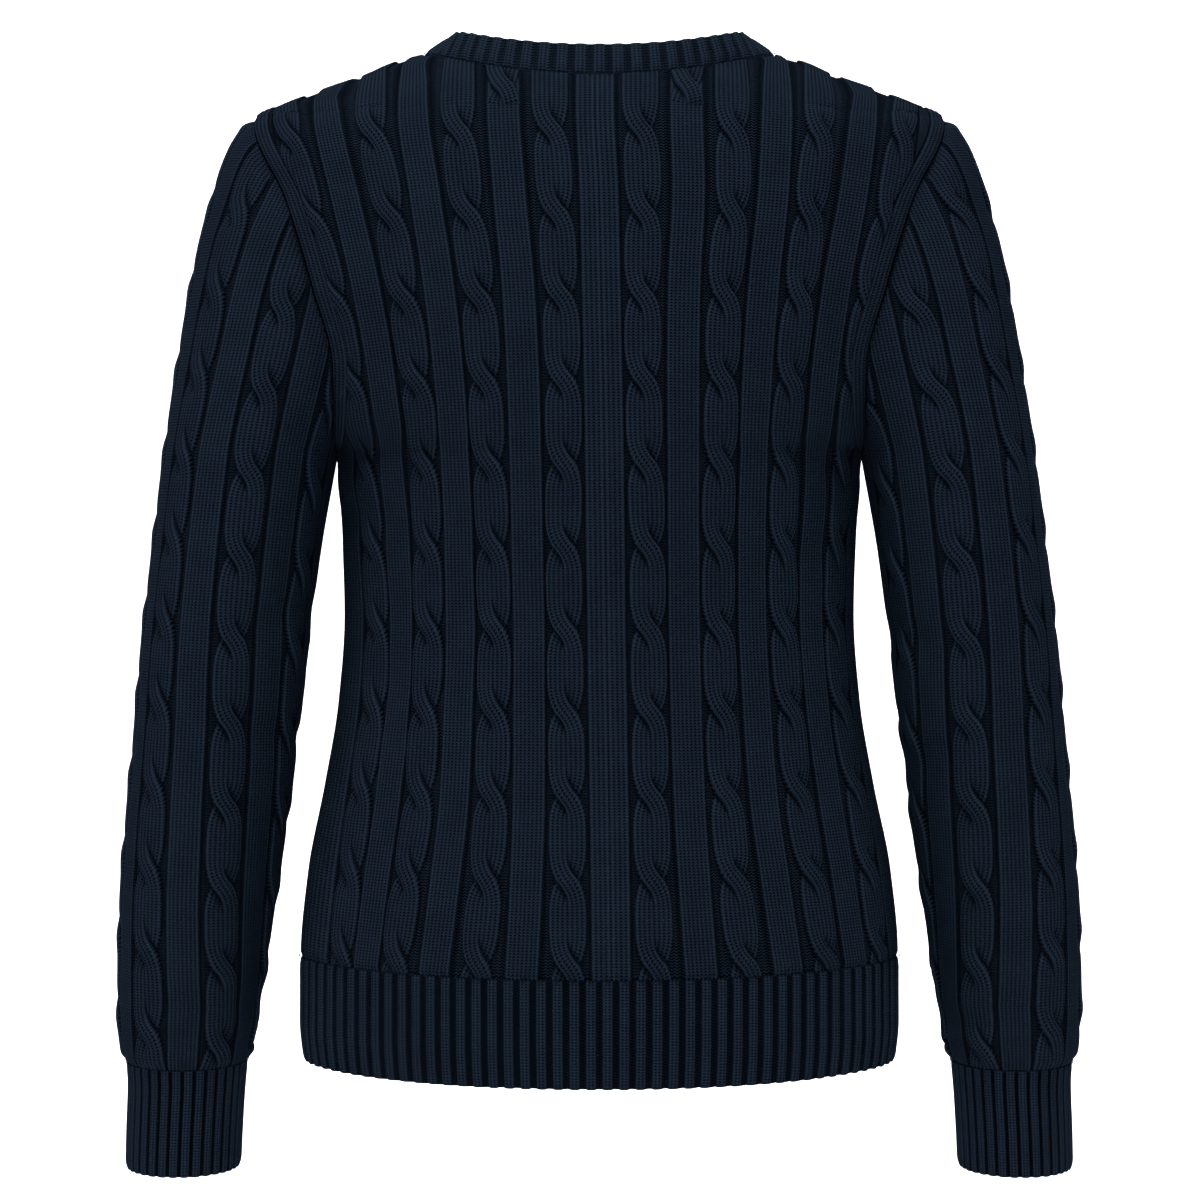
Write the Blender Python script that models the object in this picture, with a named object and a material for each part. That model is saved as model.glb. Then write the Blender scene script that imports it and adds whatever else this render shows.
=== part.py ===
"""A cable knit V-neck sweater, filled out as it is worn, with nobody inside.

Lengths are metres, +Z is up, the wearer's front faces -Y and the wearer's left is at +X.
The origin is midway between the two points where the shoulders meet the neckband.

The body is a stack of level slices. Each slice runs from the middle of a panel to its edge,
which is the side seam below the arms, the armhole beside them and the shoulder ridge above.
Knit columns run up the panels. Each column is a line of points, and neighbouring lines are
stitched together, so that a plain column needs few points and a cable has enough for its
crossings. The relief is raised in the outer points only, and the inside of a wall is plain.
"""

import math
from collections import namedtuple

import bmesh
import bpy
import numpy as np

# ---------------------------------------------------------------- driving dimensions

WALL = 0.0025                # the cloth where it is thinnest, in a purl groove
SEAM_GAP = 0.0003            # between two pieces that are sewn together
INSIDE_SETBACK = 0.0012      # how far the plain inside stops short of a seam
LEAST_SPACING = 0.00025      # between columns that a seam pushes together

CABLE_HALF = 0.0105          # half the width of a cable of eight stitches
FLAT_HALF = 0.0096           # half the width of a plain panel between cables
CENTRE_FLAT_HALF = 0.0112    # the plain panel down the middle is knitted a little wider
LEAST_GROOVE = 0.0007        # of purl between a plain panel and a cable
BODY_REPEAT = 0.0470         # from one cable crossing to the next
SLEEVE_REPEAT = 0.0480
BODY_FIRST_CROSSING = 0.0085     # above the hem seam
SLEEVE_FIRST_CROSSING = 0.0210   # above the cuff seam
CABLE_RISE = 0.0024          # a cable above the purl ground
CROSSING_RISE = 0.0011       # what the strand on top adds where it crosses
UNDER_DROP = 0.0015          # how far the strand below sinks there
FLAT_RISE = 0.0010           # a plain panel above the purl ground
BAND_RISE = 0.0014           # the plain band along the armhole
ARMHOLE_BAND = 0.0090        # its width
SEAM_FADE = 0.0090           # how far from a neck or shoulder seam the relief is full

HEM_SEAM = -0.5340           # heights
HEM_BOTTOM = -0.5960
SHOULDER_TIP = -0.0413
UNDERARM = -0.2360
CUFF_SEAM = -0.5975
CUFF_BOTTOM = -0.6610
NECK_HALF_WIDTH = 0.1034     # where the neckband meets the shoulder ridge
NECK_CORNER = -0.0035        # the height there
BACK_NECK = -0.0230          # the neck seam at the middle of the back
V_POINT = -0.1750            # the neck seam at the middle of the front
NECKBAND_WIDTH = 0.0180

SLEEVE_PITCH = 0.0460        # from one sleeve cable to the next, round the arm
UPPER_ARM_DEPTH = 0.0600     # half the sleeve's depth from front to back at the underarm
CAP_CENTRE_SHARE = 0.5       # where the arm's middle lies between the armhole and the outer edge
CAP_ROUNDNESS = 2.5
SLEEVE_CABLES = 3            # on each side of the one down the outside

HEM_RIBS = 43                # on each half of the hem
CUFF_RIBS = 28
NECK_RIB_PITCH = 0.0110
RIB_RISE = 0.0017
RIB_CREST_SHARE = 0.56       # of a rib's pitch

BODY_ROWS_IN_REPEAT = (-0.22, 0.0, 0.22, 0.5)
SLEEVE_ROWS_IN_REPEAT = (-0.26, 0.0, 0.26)
COLUMN_TOLERANCE = 0.0013    # how far a plain column may cut a bend
EDGE_TOLERANCE = 0.0005
INSIDE_TOLERANCE = 0.0016
MOST_ROW_SPACING = 0.110

# ---------------------------------------------------------------- tables

# The edge of a panel: shoulder ridge, then armhole, then side seam, then hem.
EdgeRow = namedtuple("EdgeRow", "height half_width")
EDGE = [
    EdgeRow(0.0060, 0.0200),
    EdgeRow(0.0040, 0.0600),
    EdgeRow(0.0000, 0.0860),
    EdgeRow(NECK_CORNER, NECK_HALF_WIDTH),
    EdgeRow(-0.0075, 0.1200),
    EdgeRow(-0.0148, 0.1370),
    EdgeRow(-0.0236, 0.1624),
    EdgeRow(-0.0325, 0.1860),
    EdgeRow(SHOULDER_TIP, 0.2024),
    EdgeRow(-0.0915, 0.1808),
    EdgeRow(-0.1416, 0.1650),
    EdgeRow(-0.1888, 0.1535),
    EdgeRow(UNDERARM, 0.1546),
    EdgeRow(-0.2862, 0.1507),
    EdgeRow(-0.3334, 0.1493),
    EdgeRow(-0.3835, 0.1528),
    EdgeRow(-0.4337, 0.1611),
    EdgeRow(-0.4838, 0.1708),
    EdgeRow(HEM_SEAM, 0.1752),
    EdgeRow(-0.5720, 0.1752),
    EdgeRow(HEM_BOTTOM, 0.1728),
]

# How far each cable's middle is from the middle of the panel.
ColumnRow = namedtuple("ColumnRow", "height cable_1 cable_2 cable_3 cable_4")
COLUMNS = [
    ColumnRow(0.0060, 0.0262, 0.0783, 0.1285, 0.1730),
    ColumnRow(-0.0413, 0.0255, 0.0778, 0.1267, 0.1697),
    ColumnRow(-0.0915, 0.0248, 0.0755, 0.1208, 0.1649),
    ColumnRow(-0.1416, 0.0233, 0.0698, 0.1132, 0.1543),
    ColumnRow(-0.1888, 0.0225, 0.0670, 0.1070, 0.1456),
    ColumnRow(-0.2360, 0.0226, 0.0653, 0.1031, 0.1401),
    ColumnRow(-0.2862, 0.0235, 0.0637, 0.1016, 0.1354),
    ColumnRow(-0.3334, 0.0235, 0.0637, 0.1015, 0.1325),
    ColumnRow(-0.3835, 0.0235, 0.0643, 0.1043, 0.1355),
    ColumnRow(-0.4337, 0.0235, 0.0662, 0.1080, 0.1430),
    ColumnRow(-0.4838, 0.0239, 0.0704, 0.1159, 0.1500),
    ColumnRow(HEM_SEAM, 0.0244, 0.0762, 0.1235, 0.1560),
]

# How deep the body is at the middle of each panel, and how a slice rounds off to its edge.
DepthRow = namedtuple("DepthRow", "height back front fullness edge_power")
DEPTHS = [
    DepthRow(0.0060, 0.0400, 0.0400, 2.2, 1.05),
    DepthRow(-0.0060, 0.0560, 0.0560, 2.2, 1.05),
    DepthRow(-0.0230, 0.0740, 0.0740, 2.2, 1.05),
    DepthRow(-0.0413, 0.0860, 0.0860, 2.2, 1.05),
    DepthRow(-0.0915, 0.0970, 0.0990, 2.1, 1.05),
    DepthRow(-0.1416, 0.1000, 0.1080, 2.1, 1.05),
    DepthRow(-0.1888, 0.1010, 0.1130, 2.0, 1.15),
    DepthRow(-0.2360, 0.1000, 0.1120, 1.9, 1.40),
    DepthRow(-0.2862, 0.0950, 0.1050, 1.75, 1.50),
    DepthRow(-0.3334, 0.0910, 0.0980, 1.70, 1.50),
    DepthRow(-0.3835, 0.0910, 0.0960, 1.75, 1.50),
    DepthRow(-0.4337, 0.0940, 0.0970, 1.85, 1.50),
    DepthRow(-0.4838, 0.0980, 0.0990, 2.00, 1.50),
    DepthRow(HEM_SEAM, 0.1000, 0.1000, 2.10, 1.50),
    DepthRow(HEM_BOTTOM, 0.0980, 0.0980, 2.10, 1.55),
]

# A sleeve's outline from behind, half its depth, and how far forward the arm hangs.
SleeveRow = namedtuple("SleeveRow", "height inner outer half_depth forward")
SLEEVE = [
    SleeveRow(SHOULDER_TIP, 0.2024, 0.2024, 0.0, 0.0),
    SleeveRow(-0.0430, 0.0, 0.2055, 0.0, 0.0),
    SleeveRow(-0.0500, 0.0, 0.2100, 0.0, 0.0),
    SleeveRow(-0.0590, 0.0, 0.2155, 0.0, 0.0),
    SleeveRow(-0.0770, 0.0, 0.2226, 0.0, 0.0),
    SleeveRow(-0.0944, 0.0, 0.2274, 0.0, 0.0),
    SleeveRow(-0.1121, 0.0, 0.2326, 0.0, 0.0),
    SleeveRow(-0.1475, 0.0, 0.2397, 0.0, 0.0),
    SleeveRow(-0.1830, 0.0, 0.2456, 0.0, 0.0),
    SleeveRow(UNDERARM, 0.1546, 0.2535, UPPER_ARM_DEPTH, 0.0),
    SleeveRow(-0.2980, 0.1655, 0.2612, 0.0590, 0.0010),
    SleeveRow(-0.3510, 0.1722, 0.2675, 0.0570, 0.0025),
    SleeveRow(-0.4042, 0.1792, 0.2722, 0.0540, 0.0045),
    SleeveRow(-0.4573, 0.1869, 0.2775, 0.0510, 0.0070),
    SleeveRow(-0.5104, 0.1950, 0.2815, 0.0480, 0.0095),
    SleeveRow(-0.5635, 0.2025, 0.2828, 0.0445, 0.0120),
    SleeveRow(-0.5900, 0.2068, 0.2812, 0.0415, 0.0130),
    SleeveRow(CUFF_SEAM, 0.2095, 0.2790, 0.0390, 0.0133),
    SleeveRow(-0.6100, 0.2110, 0.2780, 0.0375, 0.0138),
    SleeveRow(-0.6400, 0.2130, 0.2790, 0.0370, 0.0145),
    SleeveRow(CUFF_BOTTOM, 0.2140, 0.2795, 0.0372, 0.0150),
]

CREST_WALES = 2.8            # from a cable's middle to each of its crests
CABLE_HALF_WALES = 4.0
STRAND_HALF_WALES = 2.4
STRAND_SWING_WALES = 2.0     # how far a strand's middle moves to each side of the cable
STRAND_ROUNDNESS = 0.25
CABLE_PINCH = 0.34           # how much narrower a cable is where its strands cross

FIRST_DENSE_HEIGHT = -0.0600     # above it the cloth turns towards the shoulder ridge
PANEL_TOP = 0.0059               # of the slices, just over the highest point of the ridge
INSIDE_SHARES = (0.0, 0.14, 0.28, 0.42, 0.56, 0.70, 0.84, 0.93)
SLEEVE_INSIDE_PLACES = (0.0, 0.010, 0.020, 0.035, 0.055, 0.075, 0.095, 0.115, 0.130, 0.142, 1.0)
CABLE_FREE_ROOM = 0.006          # from the armhole band, for a cable at its full height
SLEEVE_FREE_ROOM = 0.008         # from the armhole, for a sleeve cable at its full height
SLEEVE_SEAM_FADE = 0.012
HEM_INSIDE_LINES = 17
CUFF_INSIDE_LINES = 18
NECKBAND_INSIDE_LINES = 57
NECKBAND_END_SHARE = 0.004       # left free at each end of the band, for the mitre at the V
NECKBAND_LEAST_WIDTH = 0.0006


# ---------------------------------------------------------------- curves through tables

def column_of(rows, name):
    ordered = sorted(rows, key=lambda row: row.height)
    heights = np.array([row.height for row in ordered])
    values = np.array([getattr(row, name) for row in ordered])
    return heights, values


def smooth_curve(rows, name):
    """A smooth function of height through one column of a table, with no overshoot."""
    x, y = column_of(rows, name)
    step = np.diff(x)
    slope = np.diff(y) / step
    tangent = np.zeros(len(x))
    tangent[0] = slope[0]
    tangent[-1] = slope[-1]
    for i in range(1, len(x) - 1):
        if slope[i - 1] * slope[i] > 0:
            a = 2 * step[i] + step[i - 1]
            b = step[i] + 2 * step[i - 1]
            tangent[i] = (a + b) / (a / slope[i - 1] + b / slope[i])

    def at(height):
        h = np.clip(np.asarray(height, float), x[0], x[-1])
        i = np.clip(np.searchsorted(x, h) - 1, 0, len(x) - 2)
        t = (h - x[i]) / step[i]
        keep = 2 * t**3 - 3 * t**2 + 1
        bend_in = t**3 - 2 * t**2 + t
        bend_out = t**3 - t**2
        moved = keep * y[i] + (1 - keep) * y[i + 1]
        return moved + step[i] * (bend_in * tangent[i] + bend_out * tangent[i + 1])

    return at


edge_at = smooth_curve(EDGE, "half_width")
cable_at = [smooth_curve(COLUMNS, f"cable_{k}") for k in (1, 2, 3, 4)]
depth_at = {"back": smooth_curve(DEPTHS, "back"), "front": smooth_curve(DEPTHS, "front")}
fullness_at = smooth_curve(DEPTHS, "fullness")
edge_power_at = smooth_curve(DEPTHS, "edge_power")
outer_at = smooth_curve(SLEEVE, "outer")
forward_at = smooth_curve(SLEEVE, "forward")
LOWER_SLEEVE = [row for row in SLEEVE if row.height <= UNDERARM]
inner_at = smooth_curve(LOWER_SLEEVE, "inner")
arm_depth_at = smooth_curve(LOWER_SLEEVE, "half_depth")


def smooth_step(t):
    t = np.clip(t, 0.0, 1.0)
    return t * t * (3 - 2 * t)


# ---------------------------------------------------------------- the sleeve's slices

def sleeve_slice(height):
    """Middle, half width and half depth of the oval that the sleeve follows at this height."""
    height = np.asarray(height, float)
    up = np.clip((height - UNDERARM) / (SHOULDER_TIP - UNDERARM), 0.0, 1.0)
    near = np.where(height > UNDERARM, edge_at(height), inner_at(height))
    span = np.maximum(outer_at(height) - near, 1e-6)
    middle = near + CAP_CENTRE_SHARE * (1 - up) * span
    half_width = outer_at(height) - middle
    cap_depth = UPPER_ARM_DEPTH * np.sqrt(np.maximum(1 - up**CAP_ROUNDNESS, 0.0))
    half_depth = np.where(height > UNDERARM, cap_depth, arm_depth_at(height))
    return middle, half_width, half_depth


def armhole_depth(height):
    """How far the armhole's edge is from the shoulder ridge, towards the back or the front."""
    height = np.asarray(height, float)
    middle, half_width, half_depth = sleeve_slice(height)
    across = np.clip((edge_at(height) - middle) / half_width, -1.0, 1.0)
    depth = half_depth * np.sqrt(1 - across**2)
    beside_arm = (height > UNDERARM) & (height < SHOULDER_TIP)
    return np.where(beside_arm, depth, 0.0)


# ---------------------------------------------------------------- meshes from lines

class Wall:
    """Points and triangles of one closed wall of cloth."""

    def __init__(self):
        self.points = []
        self.faces = []

    def add_line(self, points):
        first = len(self.points)
        self.points.extend(points)
        return list(range(first, len(self.points)))

    def stitch(self, left, left_at, right, right_at):
        """Triangles between two lines, always taking the step that lies lower."""
        i = 0
        j = 0
        while i < len(left) - 1 or j < len(right) - 1:
            left_is_next = i < len(left) - 1 and (
                j == len(right) - 1 or left_at[i + 1] <= right_at[j + 1]
            )
            if left_is_next:
                self.faces.append((left[i], left[i + 1], right[j]))
                i += 1
            else:
                self.faces.append((left[i], right[j + 1], right[j]))
                j += 1

    def rim(self, outside, inside):
        """Closes the cut edge between the outer and the inner points of a seam."""
        self.stitch(outside, self.shares(outside), inside, self.shares(inside))

    def shares(self, indices):
        points = np.array([self.points[i] for i in indices])
        steps = np.linalg.norm(np.diff(points, axis=0), axis=1)
        travelled = np.concatenate([[0.0], np.cumsum(steps)])
        return travelled / travelled[-1]

    def sheet(self, lines, closed=False):
        """Adds lines of (points, places along them) and stitches each to the next."""
        indices = [self.add_line(points) for points, _ in lines]
        count = len(lines) if closed else len(lines) - 1
        for k in range(count):
            n = (k + 1) % len(lines)
            self.stitch(indices[k], lines[k][1], indices[n], lines[n][1])
        return indices

    def close(self, outer, inner, closed=False):
        """Joins an outer and an inner sheet along their edges."""
        for end in (0, -1):
            outside = [line[end] for line in outer]
            inside = [line[end] for line in inner]
            if closed:
                outside.append(outside[0])
                inside.append(inside[0])
            self.rim(outside, inside)
        if not closed:
            for side in (0, -1):
                self.rim(outer[side], inner[side])

    def build(self, name, material, collection):
        mesh = bpy.data.meshes.new(name)
        mesh.from_pydata([tuple(map(float, p)) for p in self.points], [], self.faces)
        work = bmesh.new()
        work.from_mesh(mesh)
        bmesh.ops.recalc_face_normals(work, faces=work.faces)
        if work.calc_volume(signed=True) < 0:
            bmesh.ops.reverse_faces(work, faces=work.faces)
        work.to_mesh(mesh)
        work.free()
        mesh.shade_smooth()
        mesh.set_sharp_from_angle(angle=math.radians(50))
        mesh.materials.append(material)
        piece = bpy.data.objects.new(name, mesh)
        collection.objects.link(piece)
        return piece


def unit(vectors):
    length = np.linalg.norm(vectors, axis=-1, keepdims=True)
    return vectors / np.maximum(length, 1e-12)


def along(points):
    steps = np.linalg.norm(np.diff(points, axis=0), axis=1)
    return np.concatenate([[0.0], np.cumsum(steps)])


def pick(places, values, wanted):
    """Values of a dense line, read at the wanted places along it."""
    columns = [np.interp(wanted, places, values[:, c]) for c in range(values.shape[1])]
    return np.stack(columns, axis=1)


# ---------------------------------------------------------------- relief of the knit

def cable_height(offset, phase):
    """Height of a cable over the purl ground. The offset is in stitches from its middle, and the
    phase runs from -0.5 to 0.5 with the crossing at 0: the strand on top comes from -offset above
    the crossing and leaves to +offset below it."""
    close = math.cos(math.pi * phase) ** 2
    top_middle = -STRAND_SWING_WALES * math.sin(math.pi * phase)
    height = 0.0
    for middle, rise in (
        (top_middle, CABLE_RISE + CROSSING_RISE * close),
        (-top_middle, CABLE_RISE - UNDER_DROP * close),
    ):
        t = (offset - middle) / STRAND_HALF_WALES
        height = max(height, rise * max(0.0, 1 - t * t) ** STRAND_ROUNDNESS)
    return height


def pinch(phase):
    """A cable draws in where its strands cross."""
    return 1 - CABLE_PINCH * math.cos(math.pi * phase) ** 2


def rows_for_cable(length, first, repeat, phases):
    """Places and phases of a cable's rows, from the bottom edge to the top one."""
    rows = []
    crossing = first - repeat
    while crossing < length + repeat:
        for phase in phases:
            rows.append((crossing + phase * repeat, phase))
        crossing += repeat
    clearance = 0.12 * repeat
    inside = [row for row in rows if clearance < row[0] < length - clearance]

    def phase_at(place):
        turns = (place - first) / repeat
        return turns - round(turns)

    ends = [(0.0, phase_at(0.0)), (length, phase_at(length))]
    return [ends[0]] + inside + [ends[1]]


def rows_by_bend(line, places, tolerance, most_spacing):
    """Places where a plain column needs a row: where it bends, and at least every so often."""
    kept = {0, len(line) - 1}

    def split(first, last):
        if last - first < 2:
            return
        chord = line[last] - line[first]
        share = (places[first:last + 1] - places[first]) / (places[last] - places[first])
        off = np.linalg.norm(line[first:last + 1] - line[first] - share[:, None] * chord, axis=1)
        middle = first + int(np.argmax(off))
        if off.max() <= tolerance:
            if places[last] - places[first] <= most_spacing:
                return
            half_way = (places[first] + places[last]) / 2
            middle = int(np.argmin(np.abs(places - half_way)))
        middle = min(max(middle, first + 1), last - 1)
        kept.add(middle)
        split(first, middle)
        split(middle, last)

    split(0, len(line) - 1)
    return [(places[i], None) for i in sorted(kept)]


# ---------------------------------------------------------------- the body panels

# The columns of half a panel: what each is, its cable and its place in stitches.
Column = namedtuple("Column", "kind cable offset")
CORNER_FLAT = 2              # the plain panel that ends where shoulder and neckband meet


def columns_of_half_panel():
    columns = [Column("flat", 0, 0.0)]
    for k in range(4):
        if k == CORNER_FLAT:
            columns.append(Column("flat_middle", k, 0.0))
        columns += [
            Column("flat_edge_in", k, 0.0),
            Column("groove_in", k, 0.0),
            Column("crest", k, -CREST_WALES),
            Column("crest", k, 0.0),
            Column("crest", k, CREST_WALES),
            Column("groove_out", k, 0.0),
            Column("flat_edge_out", k, 0.0),
        ]
    columns += [Column("band_in", 4, 0.0), Column("band_crest", 4, 0.0), Column("edge", 4, 0.0)]
    return columns


HALF_COLUMNS = columns_of_half_panel()
SLICE_STEPS = 140
TURN = np.linspace(0.0, math.pi / 2, SLICE_STEPS)


def dense_heights():
    low = np.linspace(HEM_SEAM, FIRST_DENSE_HEIGHT, 210)
    high = np.linspace(FIRST_DENSE_HEIGHT, PANEL_TOP, 170)
    return np.concatenate([low, high[1:]])


def body_depth(side, x, height):
    """How far a panel is from the shoulder ridge at a place x. A slice is rounded towards a side
    that lies far enough out for it to pass through the armhole's edge."""
    middle = depth_at[side](height)
    fullness = fullness_at(height)
    power = edge_power_at(height)
    at_edge = np.maximum(armhole_depth(height), SEAM_GAP / 2)
    side_x = edge_at(height) / (1 - (at_edge / middle) ** power) ** (1 / fullness)
    return middle * np.maximum(1 - (x / side_x) ** fullness, 0.0) ** (1 / power)


def panel_surface(side, heights):
    """Half a panel as a grid of points and of outward directions: a row for each height, from the
    middle of the panel to its edge, and the distance along each row."""
    sign = 1.0 if side == "back" else -1.0
    x = edge_at(heights)[:, None] * np.sin(TURN)[None, :]
    y = body_depth(side, x, heights[:, None])
    z = np.broadcast_to(heights[:, None], x.shape)
    points = np.stack([x, y, z], axis=-1)
    across = np.gradient(points, axis=1)
    upward = np.gradient(points, heights, axis=0)
    normals = unit(np.cross(upward, across))
    seam = (heights < UNDERARM) | (heights > SHOULDER_TIP)
    normals[seam, -1, 1] = 0.0
    normals = unit(normals)
    points[..., 1] *= sign
    normals[..., 1] *= sign
    steps = np.linalg.norm(np.diff(points, axis=1), axis=2)
    distance = np.concatenate([np.zeros((len(heights), 1)), np.cumsum(steps, axis=1)], axis=1)
    return points, normals, distance


def column_distances(heights, points, distance):
    """How far each column is from the middle of the panel, along each slice."""
    total = distance[:, -1]
    edge = points[:, -1, 0]
    cables = []
    for at in cable_at:
        x = at(heights)
        place = np.array([np.interp(x[i], points[i, :, 0], distance[i]) for i in range(len(x))])
        cables.append(place + np.maximum(x - edge, 0.0))
    placed = {}
    for k in range(4):
        placed["middle", k] = cables[k]
        if k == 0:
            room = cables[0] - CABLE_HALF
            placed["flat_edge_in", 0] = np.minimum(CENTRE_FLAT_HALF, room - LEAST_GROOVE)
        else:
            between = (cables[k] + cables[k - 1]) / 2
            room = (cables[k] - cables[k - 1]) / 2 - CABLE_HALF
            flat = np.minimum(FLAT_HALF, room - LEAST_GROOVE)
            placed["flat_edge_out", k - 1] = between - flat
            placed["flat_edge_in", k] = between + flat
        inner_gap = cables[k] - CABLE_HALF - placed["flat_edge_in", k]
        placed["groove_in", k] = placed["flat_edge_in", k] + inner_gap / 2
    corner = (cable_at[CORNER_FLAT - 1](heights) + cable_at[CORNER_FLAT](heights)) / 2
    placed["flat_middle", CORNER_FLAT] = np.array(
        [np.interp(corner[i], points[i, :, 0], distance[i]) for i in range(len(heights))]
    ) + np.maximum(corner - edge, 0.0)
    placed["flat_edge_out", 3] = cables[3] + CABLE_HALF + 2 * LEAST_GROOVE
    for k in range(4):
        outer_gap = placed["flat_edge_out", k] - cables[k] - CABLE_HALF
        placed["groove_out", k] = placed["flat_edge_out", k] - outer_gap / 2
    tip = np.argmin(np.abs(heights - SHOULDER_TIP))
    band_limit = total - ARMHOLE_BAND
    crest_limit = total - ARMHOLE_BAND / 2
    above = heights > SHOULDER_TIP
    band_limit = np.where(above, band_limit[tip], band_limit)
    crest_limit = np.where(above, crest_limit[tip], crest_limit)
    result = []
    after = len(HALF_COLUMNS)
    for column in HALF_COLUMNS:
        after -= 1
        if column.kind == "edge":
            result.append(total)
            continue
        if column.kind == "band_in":
            result.append(band_limit)
            continue
        if column.kind == "band_crest":
            result.append(crest_limit)
            continue
        if column.kind == "flat":
            result.append(np.zeros(len(heights)))
            continue
        if column.kind == "crest":
            out = column.offset / CABLE_HALF_WALES * CABLE_HALF
            place = placed["middle", column.cable] + out
        else:
            place = placed[column.kind, column.cable]
        result.append(np.minimum(place, band_limit - LEAST_SPACING * (after - 2)))
    return result, band_limit


def neck_seam_height(side, x):
    """The height of the neck seam over a place x, or far above where there is none."""
    share = np.abs(x) / NECK_HALF_WIDTH
    if side == "back":
        curve = BACK_NECK + (NECK_CORNER - BACK_NECK) * np.minimum(share, 1.0) ** 2.2
    else:
        curve = V_POINT + (NECK_CORNER - V_POINT) * np.minimum(share, 1.0) ** 0.92
    return np.where(share < 1.0, curve, 1.0)


def cut_line(side, heights, points, normals, distance, place, is_edge, setback):
    """The dense line of one column from the hem seam to the neck, ridge or shoulder tip."""
    count = len(heights)
    line = np.zeros((count, 3))
    outward = np.zeros((count, 3))
    for i in range(count):
        share = np.interp(place[i], distance[i], np.arange(SLICE_STEPS))
        low = min(int(share), SLICE_STEPS - 2)
        t = share - low
        line[i] = points[i, low] * (1 - t) + points[i, low + 1] * t
        outward[i] = normals[i, low] * (1 - t) + normals[i, low + 1] * t
    outward[0, 2] = 0.0
    outward = unit(outward)
    if is_edge:
        left = SHOULDER_TIP - heights
    else:
        left = distance[:, -1] - place
    seam_left = neck_seam_height(side, line[:, 0]) - heights
    stop = count
    for i in range(1, count):
        if min(left[i], seam_left[i]) <= 0:
            stop = i
            break
    if stop < count:
        i = stop
        room = left if left[i] <= 0 else seam_left
        t = room[i - 1] / (room[i - 1] - room[i])
        last = line[i - 1] * (1 - t) + line[i] * t
        last_outward = unit(outward[i - 1] * (1 - t) + outward[i] * t)
        line = np.concatenate([line[:i], [last]])
        outward = np.concatenate([outward[:i], [last_outward]])
        if room is left:
            outward[-1, 1] = 0.0
            outward = unit(outward)
            line[-1, 1] = math.copysign(SEAM_GAP / 2, line[0, 1])
    places = along(line)
    if setback:
        keep = np.linspace(INSIDE_SETBACK, places[-1] - INSIDE_SETBACK, len(places))
        line = pick(places, line, keep)
        outward = unit(pick(places, outward, keep))
        places = along(line)
    return line, outward, places


def mirrored(points):
    return points * np.array([-1.0, 1.0, 1.0])


def own_side(side, y):
    """Keeps the back and the front panel half a seam's gap each from where they meet."""
    if side == "back":
        return np.maximum(y, SEAM_GAP / 2)
    return np.minimum(y, -SEAM_GAP / 2)


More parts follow.
